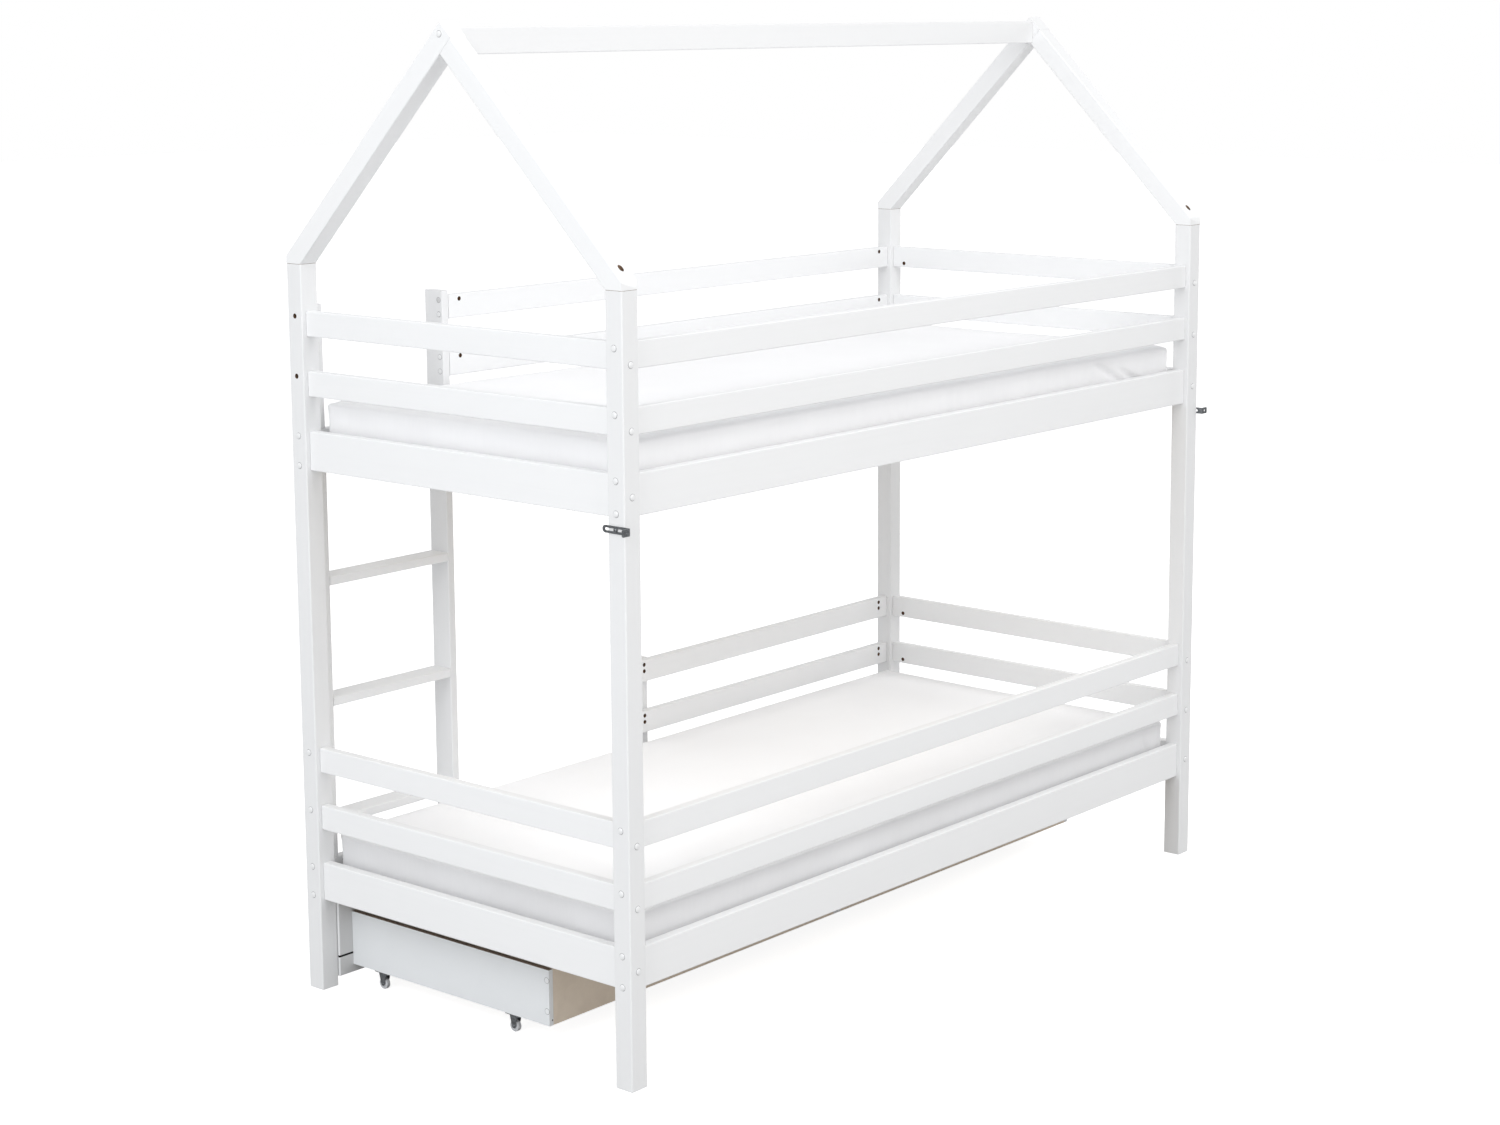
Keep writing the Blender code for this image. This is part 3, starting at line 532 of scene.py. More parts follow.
class ShaderBench:
    """Adds nodes to one node tree and joins their sockets."""

    def __init__(self, tree: bpy.types.NodeTree) -> None:
        """Take the node tree that is worked on."""
        self.tree = tree

    def node(self, kind: str, feeds: Feeds | None = None, **settings: object) -> bpy.types.Node:
        """Add a node.

        Args:
            kind: The node's type name.
            feeds: What its inputs take: an output to join them to, or a plain value.
            settings: Values of its properties.

        Returns:
            The new node.
        """
        made = self.tree.nodes.new(kind)
        for name, value in settings.items():
            setattr(made, name, value)
        self.feed(made, feeds or {})
        return made

    def feed(self, node: bpy.types.Node, feeds: Feeds) -> None:
        """Join outputs to a node's inputs, or set plain values on them.

        Args:
            node: The node.
            feeds: The outputs and values, by the inputs' names or places.
        """
        for name, value in feeds.items():
            if isinstance(value, Socket):
                self.tree.links.new(value, node.inputs[name])
            else:
                node.inputs[name].default_value = value

    def noise(self, vector: Socket, scale: float | Socket, detail: float = 3.0,
              roughness: float = 0.5, distortion: float = 0.0) -> Socket:
        """Add a noise texture.

        Args:
            vector: Coordinates that it reads.
            scale: Number of waves to the metre.
            detail: Number of finer layers.
            roughness: Strength of the finer layers.
            distortion: How far the pattern is bent.

        Returns:
            Its value, about 0.5 on average.
        """
        feeds = {"Vector": vector, "Scale": scale, "Detail": detail, "Roughness": roughness,
                 "Distortion": distortion}
        return self.node("ShaderNodeTexNoise", feeds).outputs["Fac"]

    def maths(self, operation: str, first: Socket, second: Socket | float) -> Socket:
        """Add a sum, product or the like of two values.

        Args:
            operation: Name of the operation, such as MULTIPLY.
            first: First value.
            second: Second value, a socket or a number.

        Returns:
            The result.
        """
        return self.node("ShaderNodeMath", {0: first, 1: second}, operation=operation).outputs[0]

    def mixed(self, first: Socket, much: float, second: Socket, little: float) -> Socket:
        """Add two values by their shares.

        Args:
            first: First value.
            much: Share of the first value.
            second: Second value.
            little: Share of the second value.

        Returns:
            The sum.
        """
        return self.maths("ADD", self.maths("MULTIPLY", first, much), self.maths("MULTIPLY", second, little))

    def spread(self, value: Socket, low: float | Socket = 0.0, high: float | Socket = 1.0, start: float = 0.3,
               end: float = 0.7) -> Socket:
        """Map a value from one range to another, held at both ends.

        Args:
            value: The value to map.
            low: Result at the start of the range.
            high: Result at its end.
            start: Where the range starts.
            end: Where the range ends.

        Returns:
            The mapped value.
        """
        feeds = {"Value": value, "From Min": start, "From Max": end, "To Min": low, "To Max": high}
        return self.node("ShaderNodeMapRange", feeds, clamp=True).outputs["Result"]

    def blend(self, mask: Socket, first: Colour | Socket, second: Colour | Socket) -> Socket:
        """Mix two colours by a mask.

        Args:
            mask: 0 for the first colour, 1 for the second.
            first: First colour, or a socket that gives it.
            second: Second colour, or a socket that gives it.

        Returns:
            The mixed colour.
        """
        first, second = (colour if isinstance(colour, Socket) else (*colour, 1.0)
                         for colour in (first, second))
        return self.node("ShaderNodeMix", {"Factor": mask, 6: first, 7: second}, data_type="RGBA").outputs[2]

    def stretch(self, vector: Socket, scale: Sequence[float]) -> Socket:
        """Stretch coordinates by a scale for each direction."""
        return self.node("ShaderNodeMapping", {"Vector": vector, "Scale": scale}).outputs["Vector"]

    def place(self) -> Socket:
        """Give the piece's own coordinates."""
        return self.node("ShaderNodeTexCoord").outputs["Object"]


class EffectGroup:
    """A shader node group that is built once and used by several finishes."""

    NAME = "effect"
    INPUTS: tuple[tuple[str, str], ...] = (("Vector", "NodeSocketVector"),)
    OUTPUTS: tuple[tuple[str, str], ...] = ()

    def tree(self) -> bpy.types.NodeTree:
        """Find the group, or make its sockets and nodes.

        Returns:
            The node group.
        """
        found = bpy.data.node_groups.get(self.NAME)
        if found is not None:
            return found
        made = bpy.data.node_groups.new(self.NAME, "ShaderNodeTree")
        for way, sockets in (("INPUT", self.INPUTS), ("OUTPUT", self.OUTPUTS)):
            for name, kind in sockets:
                made.interface.new_socket(name, in_out=way, socket_type=kind)
        bench = ShaderBench(made)
        results = self.wire(bench, bench.node("NodeGroupInput").outputs)
        bench.node("NodeGroupOutput", results)
        return made

    def wire(self, bench: ShaderBench, given: bpy.types.NodeOutputs) -> dict[str, Socket]:
        """Make the nodes between the group's input and its output.

        Args:
            bench: Node tree of the group.
            given: The group's inputs, as its nodes read them.

        Returns:
            What each output of the group puts out.
        """
        raise NotImplementedError

    def use(self, bench: ShaderBench, vector: Socket, **values: float) -> bpy.types.NodeOutputs:
        """Place the group in a material.

        Args:
            bench: Node tree of the material.
            vector: Coordinates that the group reads.
            values: Numbers for its other inputs.

        Returns:
            The outputs of the group node.
        """
        return bench.node("ShaderNodeGroup", {"Vector": vector, **values}, node_tree=self.tree()).outputs


class TimberGrain(EffectGroup):
    """Long streaks and soft clouds of planed pine; the coordinates come in already stretched."""

    NAME = "timber_grain"
    INPUTS = (("Vector", "NodeSocketVector"), ("Fineness", "NodeSocketFloat"))
    OUTPUTS = (("Streaks", "NodeSocketFloat"), ("Clouds", "NodeSocketFloat"), ("Relief", "NodeSocketFloat"))

    def wire(self, bench: ShaderBench, given: bpy.types.NodeOutputs) -> dict[str, Socket]:
        """Make the streaks, the clouds and the relief.

        Args:
            bench: Node tree of the group.
            given: The group's inputs, as its nodes read them.

        Returns:
            What each output of the group puts out.
        """
        wide = bench.noise(given["Vector"], 24.0, 2.0, 0.5, 1.4)
        rings = bench.noise(given["Vector"], given["Fineness"], 5.0, 0.62, 0.35)
        streaks = bench.spread(rings, start=0.36, end=0.66)
        clouds = bench.spread(wide, start=0.32, end=0.68)
        return {"Streaks": streaks, "Clouds": clouds, "Relief": bench.mixed(streaks, 0.7, clouds, 0.3)}


class HandlingMarks(EffectGroup):
    """Uneven gloss and the fine skin of a lacquered or moulded surface."""

    NAME = "handling_marks"
    INPUTS = (("Vector", "NodeSocketVector"), ("Low", "NodeSocketFloat"), ("High", "NodeSocketFloat"))
    OUTPUTS = (("Roughness", "NodeSocketFloat"), ("Skin", "NodeSocketFloat"))

    def wire(self, bench: ShaderBench, given: bpy.types.NodeOutputs) -> dict[str, Socket]:
        """Make the gloss between two values, and the skin.

        Args:
            bench: Node tree of the group.
            given: The group's inputs, as its nodes read them.

        Returns:
            What each output of the group puts out.
        """
        rubbed = bench.noise(given["Vector"], 9.0, 4.0, 0.6, 0.8)
        gloss = bench.spread(rubbed, given["Low"], given["High"])
        return {"Roughness": gloss, "Skin": bench.noise(given["Vector"], 420.0, 2.0)}


class MetalSpangle(EffectGroup):
    """Small flat crystals and fine scratches of a zinc or brass surface."""

    NAME = "metal_spangle"
    INPUTS = (("Vector", "NodeSocketVector"), ("Crystals", "NodeSocketFloat"))
    OUTPUTS = (("Cells", "NodeSocketFloat"), ("Scratches", "NodeSocketFloat"))

    def wire(self, bench: ShaderBench, given: bpy.types.NodeOutputs) -> dict[str, Socket]:
        """Make the crystals and the scratches.

        Args:
            bench: Node tree of the group.
            given: The group's inputs, as its nodes read them.

        Returns:
            What each output of the group puts out.
        """
        cells = bench.node("ShaderNodeTexVoronoi", {"Vector": given["Vector"], "Scale": given["Crystals"]})
        value = bench.node("ShaderNodeSeparateColor", {"Color": cells.outputs["Color"]})
        long_way = bench.stretch(given["Vector"], (120.0, 900.0, 900.0))
        return {"Cells": value.outputs["Red"], "Scratches": bench.noise(long_way, 1.0, 2.0)}


class KnitStitches(EffectGroup):
    """Fine stitches of a knitted cover and the wider lines that it is stretched in."""

    NAME = "knit_stitches"
    INPUTS = (("Vector", "NodeSocketVector"), ("Stitches", "NodeSocketFloat"))
    OUTPUTS = (("Height", "NodeSocketFloat"), ("Shade", "NodeSocketFloat"))

    def wire(self, bench: ShaderBench, given: bpy.types.NodeOutputs) -> dict[str, Socket]:
        """Make the stitches from one wave in each direction, and the shade from soft clouds.

        Args:
            bench: Node tree of the group.
            given: The group's inputs, as its nodes read them.

        Returns:
            What each output of the group puts out.
        """
        product = None
        waves = {"Vector": given["Vector"], "Scale": given["Stitches"], "Distortion": 0.6, "Detail": 1.0,
                 "Detail Scale": 0.4}
        for direction in ("X", "Y", "Z"):
            wave = bench.node("ShaderNodeTexWave", waves, wave_type="BANDS", bands_direction=direction)
            raised = bench.spread(wave.outputs["Fac"], 0.55, 1.0, 0.0, 1.0)
            product = raised if product is None else bench.maths("MULTIPLY", product, raised)
        lines = bench.noise(bench.stretch(given["Vector"], (1.0, 1.0, 0.12)), 150.0, 2.0, 0.6)
        clouds = bench.noise(given["Vector"], 5.0, 3.0, 0.55)
        return {"Height": bench.mixed(product, 0.6, lines, 0.25),
                "Shade": bench.mixed(clouds, 0.8, lines, 0.2)}


@dataclass(frozen=True)
class Finish:
    """A surface finish. Its material is made the first time that a piece asks for it."""

    name: str = "finish"
    colour: Colour = (0.8, 0.8, 0.8)
    shade: Colour = (0.7, 0.7, 0.7)
    roughness: tuple[float, float] = (0.4, 0.5)
    metallic: float = 0.0
    bump: float = 0.0001

    def material(self) -> bpy.types.Material:
        """Find the finish's material, or make it.

        Returns:
            The material.
        """
        found = bpy.data.materials.get(self.name)
        if found is not None:
            return found
        made = bpy.data.materials.new(self.name)
        made.use_nodes = True
        bench = ShaderBench(made.node_tree)
        shader = made.node_tree.nodes["Principled BSDF"]
        shader.inputs["Metallic"].default_value = self.metallic
        self.dress(bench, shader)
        return made

    def dress(self, bench: ShaderBench, shader: bpy.types.Node) -> None:
        """Make the nodes that feed the shader.

        Args:
            bench: Node tree of the material.
            shader: Its shader.
        """
        raise NotImplementedError

    def gloss(self, bench: ShaderBench, shader: bpy.types.Node) -> Socket:
        """Give the shader an uneven gloss between the two values of this finish.

        Args:
            bench: Node tree of the material.
            shader: Its shader.

        Returns:
            The surface's fine skin, which can feed a relief.
        """
        low, high = self.roughness
        marks = HandlingMarks().use(bench, bench.place(), Low=low, High=high)
        bench.feed(shader, {"Roughness": marks["Roughness"]})
        return marks["Skin"]

    def relief(self, bench: ShaderBench, shader: bpy.types.Node, height: Socket) -> None:
        """Raise the surface by a height map.

        Args:
            bench: Node tree of the material.
            shader: Its shader.
            height: The height, 0 to 1.
        """
        made = bench.node("ShaderNodeBump", {"Strength": 1.0, "Distance": self.bump, "Height": height})
        bench.feed(shader, {"Normal": made.outputs["Normal"]})


@dataclass(frozen=True)
class Timber(Finish):
    """Planed timber, painted or plain, with its grain along the board."""

    grain: Grain = Grain.LENGTH
    fineness: float = 130.0
    stretch: float = 0.035
    skin: float = 0.35

    def dress(self, bench: ShaderBench, shader: bpy.types.Node) -> None:
        """Make the grain's colour, gloss and relief.

        Args:
            bench: Node tree of the material.
            shader: Its shader.
        """
        axis, turn = self.grain.value
        turned = bench.node("ShaderNodeVectorRotate", {"Vector": bench.place(), "Angle": math.radians(turn)},
                            rotation_type="X_AXIS")
        scale = [self.stretch if place == axis else 1.0 for place in range(3)]
        along = bench.stretch(turned.outputs["Vector"], scale)
        grain = TimberGrain().use(bench, along, Fineness=self.fineness)
        mask = bench.maths("MULTIPLY", grain["Streaks"], grain["Clouds"])
        bench.feed(shader, {"Base Color": bench.blend(mask, self.colour, self.shade)})
        skin = bench.maths("MULTIPLY", self.gloss(bench, shader), self.skin)
        self.relief(bench, shader, bench.maths("ADD", grain["Relief"], skin))


@dataclass(frozen=True)
class Smooth(Finish):
    """Laminate, paint or moulded plastic with soft clouds in its tone."""

    clouds: float = 6.0

    def dress(self, bench: ShaderBench, shader: bpy.types.Node) -> None:
        """Make the clouds, the gloss and the skin.

        Args:
            bench: Node tree of the material.
            shader: Its shader.
        """
        mask = bench.spread(bench.noise(bench.place(), self.clouds, 4.0, 0.6, 0.4))
        bench.feed(shader, {"Base Color": bench.blend(mask, self.colour, self.shade)})
        self.relief(bench, shader, self.gloss(bench, shader))


@dataclass(frozen=True)
class Metal(Finish):
    """Plated steel or brass."""

    metallic: float = 1.0
    crystals: float = 260.0

    def dress(self, bench: ShaderBench, shader: bpy.types.Node) -> None:
        """Make the crystals, the gloss and the scratches.

        Args:
            bench: Node tree of the material.
            shader: Its shader.
        """
        spangle = MetalSpangle().use(bench, bench.place(), Crystals=self.crystals)
        bench.feed(shader, {"Base Color": bench.blend(spangle["Cells"], self.colour, self.shade)})
        self.gloss(bench, shader)
        self.relief(bench, shader, spangle["Scratches"])


@dataclass(frozen=True)
class Knit(Finish):
    """Knitted mattress cover, with painted light: the top and the sides each take their own tone, chosen by
    the way each face looks.
    """

    stitches: float = 170.0
    # Painted light: tones of the sides, set lighter or darker than the top by how light falls on them.
    side_painted_light: Colour = (0.87, 0.87, 0.885)
    side_painted_light_mottle: Colour = (0.82, 0.82, 0.835)

    def dress(self, bench: ShaderBench, shader: bpy.types.Node) -> None:
        """Make the stitches, a soft sheen, and painted light: one tone for the top and one for the sides,
        chosen by the way each face looks.

        Args:
            bench: Node tree of the material.
            shader: Its shader.
        """
        knit = KnitStitches().use(bench, bench.place(), Stitches=self.stitches)
        mask = bench.spread(knit["Shade"])
        normal = bench.node("ShaderNodeTexCoord").outputs["Normal"]
        facing_up = bench.node("ShaderNodeSeparateXYZ", {"Vector": normal}).outputs["Z"]
        side_painted_light = bench.blend(mask, self.side_painted_light, self.side_painted_light_mottle)
        top = bench.blend(mask, self.colour, self.shade)
        # Painted light: faces that look up take the top's tone, the others take the sides' tone.
        painted_light_mask = bench.spread(facing_up, start=0.35, end=0.85)
        bench.feed(shader, {"Base Color": bench.blend(painted_light_mask, side_painted_light, top), "Sheen Weight": 0.25,
                            "Sheen Roughness": 0.6})
        self.gloss(bench, shader)
        self.relief(bench, shader, knit["Height"])


def painted(grain: Grain) -> Timber:
    """White paint over planed pine.

    Args:
        grain: The way the board runs.

    Returns:
        The finish.
    """
    tone = 0.935 if grain is Grain.UPRIGHT else 1.0
    colour = (0.86 * tone, 0.865 * tone, 0.87 * tone)
    shade = (0.85 * tone, 0.855 * tone, 0.86 * tone)
    return Timber(f"white_paint_{grain.name.lower()}", colour, shade, (0.36, 0.48), bump=0.00005, grain=grain)


def plain(grain: Grain) -> Timber:
    """Unpainted pine.

    Args:
        grain: The way the board runs.

    Returns:
        The finish.
    """
    return Timber(f"plain_pine_{grain.name.lower()}", (0.77, 0.66, 0.50), (0.62, 0.48, 0.31), (0.6, 0.75),
                  bump=0.0003, grain=grain, fineness=90.0)


CAP_PLASTIC = Smooth("cap_plastic", (0.83, 0.835, 0.84), (0.80, 0.805, 0.81), (0.3, 0.4),
                     bump=0.00003, clouds=60.0)
DRAWER_CAP = Smooth("drawer_cap_plastic", (0.85, 0.865, 0.875), (0.82, 0.835, 0.845), (0.3, 0.4),
                    bump=0.00003, clouds=60.0)
CAP_SHADE = Smooth("cap_shade", (0.34, 0.345, 0.35), (0.30, 0.305, 0.31), (0.6, 0.7),
                   bump=0.00003, clouds=60.0)
# Raw pine darkened near black as painted shade inside holes; it also colours the dark slab in the post-top
# joint.
BORED_PINE_PAINTED_SHADE = Smooth("bored_pine_painted_shade", (0.20, 0.12, 0.07), (0.12, 0.07, 0.04), (0.7, 0.85),
                    bump=0.0002, clouds=240.0)
GREY_PLASTIC = Smooth("grey_plastic", (0.62, 0.62, 0.62), (0.56, 0.56, 0.56), (0.35, 0.45),
                      bump=0.00003, clouds=60.0)
WHEEL_PLASTIC = Smooth("moulded_wheel", (0.66, 0.67, 0.69), (0.58, 0.59, 0.61), (0.35, 0.5),
                       bump=0.00005, clouds=90.0)
HUB_PLASTIC = Smooth("hub_plastic", (0.42, 0.43, 0.45), (0.36, 0.37, 0.39), (0.4, 0.5),
                     bump=0.00005, clouds=90.0)
DRAWER_SIDE = Smooth("drawer_side_laminate", (0.82, 0.84, 0.855), (0.80, 0.82, 0.835), (0.4, 0.5),
                     bump=0.00006)
# Grey painted shade for the drawer front's inner face, darker than the front's white paint.
DRAWER_INNER_PAINTED_SHADE = Smooth("drawer_front_inner_painted_shade", (0.68, 0.68, 0.68), (0.65, 0.65, 0.65), (0.45, 0.55),
                      bump=0.00006)
DRAWER_EDGE = Smooth("drawer_raw_edge", (0.27, 0.215, 0.17), (0.19, 0.15, 0.12), (0.75, 0.9),
                     bump=0.0003, clouds=140.0)
# Near-black painted shade for the faces inside the front's groove.
GROOVE_SHADE = Smooth("groove_shade", (0.03, 0.026, 0.023), (0.02, 0.018, 0.016), (0.75, 0.9),
                      bump=0.0002, clouds=140.0)
DRAWER_BACK = Smooth("drawer_back_board", (0.79, 0.69, 0.57), (0.73, 0.63, 0.52), (0.55, 0.7),
                     bump=0.0001, clouds=30.0)
ZINC = Metal("zinc_plating", (0.25, 0.262, 0.276), (0.16, 0.168, 0.178), (0.25, 0.42), bump=0.00003)
DARK_STEEL = Metal("dark_steel", (0.12, 0.11, 0.10), (0.07, 0.065, 0.06), (0.35, 0.5), bump=0.00003)
# Brass darkened near black: painted shade of the holes that the nuts sit in.
BRASS_PAINTED_SHADE = Metal("brass", (0.16, 0.085, 0.05), (0.10, 0.05, 0.03), (0.3, 0.45), bump=0.00003)
# Lit and shaded copies of one knit cover: painted light gives the lower one a brighter top and darker sides
# than the upper one.
UPPER_COVER_PAINTED_LIGHT = Knit("upper_mattress_cover", (0.875, 0.875, 0.885), (0.85, 0.85, 0.86), (0.85, 0.95),
                   bump=0.0003, side_painted_light=(0.93, 0.93, 0.94), side_painted_light_mottle=(0.885, 0.885, 0.895))
LOWER_COVER_PAINTED_LIGHT = Knit("lower_mattress_cover", (0.965, 0.97, 0.985), (0.94, 0.945, 0.96), (0.85, 0.95),
                   bump=0.0003, side_painted_light=(0.84, 0.84, 0.85), side_painted_light_mottle=(0.79, 0.79, 0.80))
PAINT_SLOT = "white_painted_wood"


@dataclass(frozen=True)
class BoltCap:
    """Domed plastic cap over a bolt head."""

    radius: float = 0.0063
    proud: float = 0.0024
    gap: float = 0.0009
    sunk: float = 0.0004
    ring_proud: float = 0.00015
    rim_share: float = 0.30
    fullness: float = 0.8
    dome_steps: int = 5
    steps: int = 24

    def add_to(self, piece: Workpiece, at: Vector, outwards: Vector) -> None:
        """Add one cap and the shaded ring round its rim, which takes the second material.

        Args:
            piece: Workpiece that gathers the caps.
            at: Point on the timber's face.
            outwards: The way the face looks.
        """
        rim_height = self.proud * self.rim_share
        profile = [(0.0, -self.sunk), (self.radius, -self.sunk), (self.radius, rim_height)]
        for step in range(1, self.dome_steps + 1):
            angle = math.radians(90 * step / self.dome_steps)
            across = self.radius * math.cos(angle) ** self.fullness if step < self.dome_steps else 0.0
            profile.append((across, self.proud * (self.rim_share + (1 - self.rim_share) * math.sin(angle))))
        piece.turn(profile, at, outwards, self.steps)
        rim = self.radius + self.gap
        ring = [(0.0, -self.sunk), (rim, -self.sunk), (rim, self.ring_proud), (0.0, self.ring_proud)]
        piece.join(Workpiece().turn(ring, at, outwards, self.steps).mark(Workpiece.CUT_FACE))


@dataclass(frozen=True)
class BarrelNut:
    """Cross dowel in its hole, with a slotted end face just under the timber's surface."""

    radius: float = 0.0046
    below: float = 0.0020
    length: float = 0.012
    slot_wide: float = 0.0013
    slot_deep: float = 0.0012
    chamfer: float = 0.0004
    steps: int = 24

    def add_to(self, piece: Workpiece, hole: Hole, turn: float) -> None:
        """Add one nut.

        Args:
            piece: Workpiece that gathers the nuts.
            hole: The hole that it sits in.
            turn: Turn of its slot, in degrees.
        """
        profile = [(0.0, 0.0), (self.radius - self.chamfer, 0.0), (self.radius, self.chamfer),
                   (self.radius, self.length), (0.0, self.length)]
        nut = Workpiece().turn(profile, Vector(), up(1), self.steps)
        half = Vector((self.radius * 1.2, self.slot_wide / 2, self.slot_deep))
        slot = Workpiece().block(-half, half).transform(Matrix.Rotation(math.radians(turn), 4, "Z"))
        nut.cut(slot)
        piece.join(nut.transform(facing(hole.mouth + hole.inwards * self.below, hole.inwards)))


@dataclass(frozen=True)
class Screw:
    """Round screw head with a cross recess."""

    radius: float = 0.004
    height: float = 0.0022

    def add_to(self, piece: Workpiece, at: Vector, outwards: Vector) -> None:
        """Add one screw head.

        Args:
            piece: Workpiece that gathers the heads.
            at: Point that the head lies on.
            outwards: The way it looks.
        """
        radius, height = self.radius, self.height
        profile = [(0.0, 0.0), (radius, 0.0), (radius, height * 0.35), (radius * 0.8, height * 0.8),
                   (radius * 0.45, height), (0.0, height)]
        head = Workpiece().turn(profile, Vector(), up(1), 24)
        arm = radius * 0.62
        wide = radius * 0.13
        for half_x, half_y in ((arm, wide), (wide, arm)):
            low = Vector((-half_x, -half_y, height * 0.45))
            head.cut(Workpiece().block(low, Vector((half_x, half_y, height * 1.5))))
        piece.join(head.transform(facing(at, outwards)))


@dataclass
class Posts:
    """Four posts with the caps over their bolts; the one beside the ladder keeps two holes open."""

    bed: Bed
    ease: float = 0.003
    end_bolts_up: tuple[int, ...] = (1, 5, 9)
    long_bolts_up: tuple[int, ...] = (0, 2, 6, 10)
    open_modules: tuple[int, ...] = (6, 10)
    open_depth: float = 0.028
    open_radius: float = 0.0055
    same_place: float = 0.001
    end_chamfer: float = 0.0008
    seam_inset: float = 0.0003
    seam_deep: float = 0.0006

    def build(self) -> Pieces:
        """Build the posts and their caps.

        Returns:
            The finished pieces.
        """
        pieces = []
        half = Vector((self.bed.post / 2, self.bed.post / 2, 0.0))
        for corner in Corner:
            foot = self.bed.place(corner)
            top = foot + up(self.bed.post_top)
            stick = Workpiece().block(foot - half, top + half).ease(self.ease, Axis.Z)
            # A dark slab in the joint under the rafter, set in a little from the faces: painted shade of the
            # seam.
            inset = half - Vector((self.seam_inset, self.seam_inset, 0))
            seam = Workpiece().block(top - inset - up(self.seam_deep), top + inset + up(self.bed.fit))
            seam.ease(self.ease, Axis.Z).mark(Workpiece.CUT_FACE)
            post = Workpiece().join(stick.ease_ends(Axis.Z, self.end_chamfer))
            post.drill(self.open_holes(corner)).join(seam)
            node = f"post_{corner.label}"
            finishes = (painted(Grain.UPRIGHT), BORED_PINE_PAINTED_SHADE)
            pieces.append(post.finish(f"{node}_timber", finishes, slot=PAINT_SLOT, stands_for=[node]))
            pieces.append(self.caps(corner))
        return pieces

    def open_holes(self, corner: Corner) -> list[Hole]:
        """List the holes of a post that have no bolt in them.

        Args:
            corner: The post.

        Returns:
            The holes, none for three of the posts.
        """
        if corner is not Corner.FRONT_RIGHT:
            return []
        face = self.bed.place(corner) + Vector((self.bed.post / 2, 0, 0))
        mouths = [face + up(self.bed.hole_height(Level.UPPER, step)) for step in self.open_modules]
        return [Hole(mouth, Vector((-1, 0, 0)), self.open_radius, self.open_depth) for mouth in mouths]

    def caps(self, corner: Corner) -> bpy.types.Object:
        """Build the caps on a post's two outer faces.

        Args:
            corner: The post.

        Returns:
            All of its caps as one piece.
        """
        sign_x, sign_y = corner.value
        foot = self.bed.place(corner)
        open_mouths = [hole.mouth for hole in self.open_holes(corner)]
        faces = ((Vector((sign_x, 0, 0)), self.long_bolts_up), (Vector((0, sign_y, 0)), self.end_bolts_up))
        caps = Workpiece()
        for level in Level:
            for outwards, steps in faces:
                for step in steps:
                    at = foot + outwards * self.bed.post / 2 + up(self.bed.hole_height(level, step))
                    if all((at - mouth).length > self.same_place for mouth in open_mouths):
                        BoltCap().add_to(caps, at, outwards)
        return caps.finish(f"post_{corner.label}_caps", (CAP_PLASTIC, CAP_SHADE), slot=PAINT_SLOT)


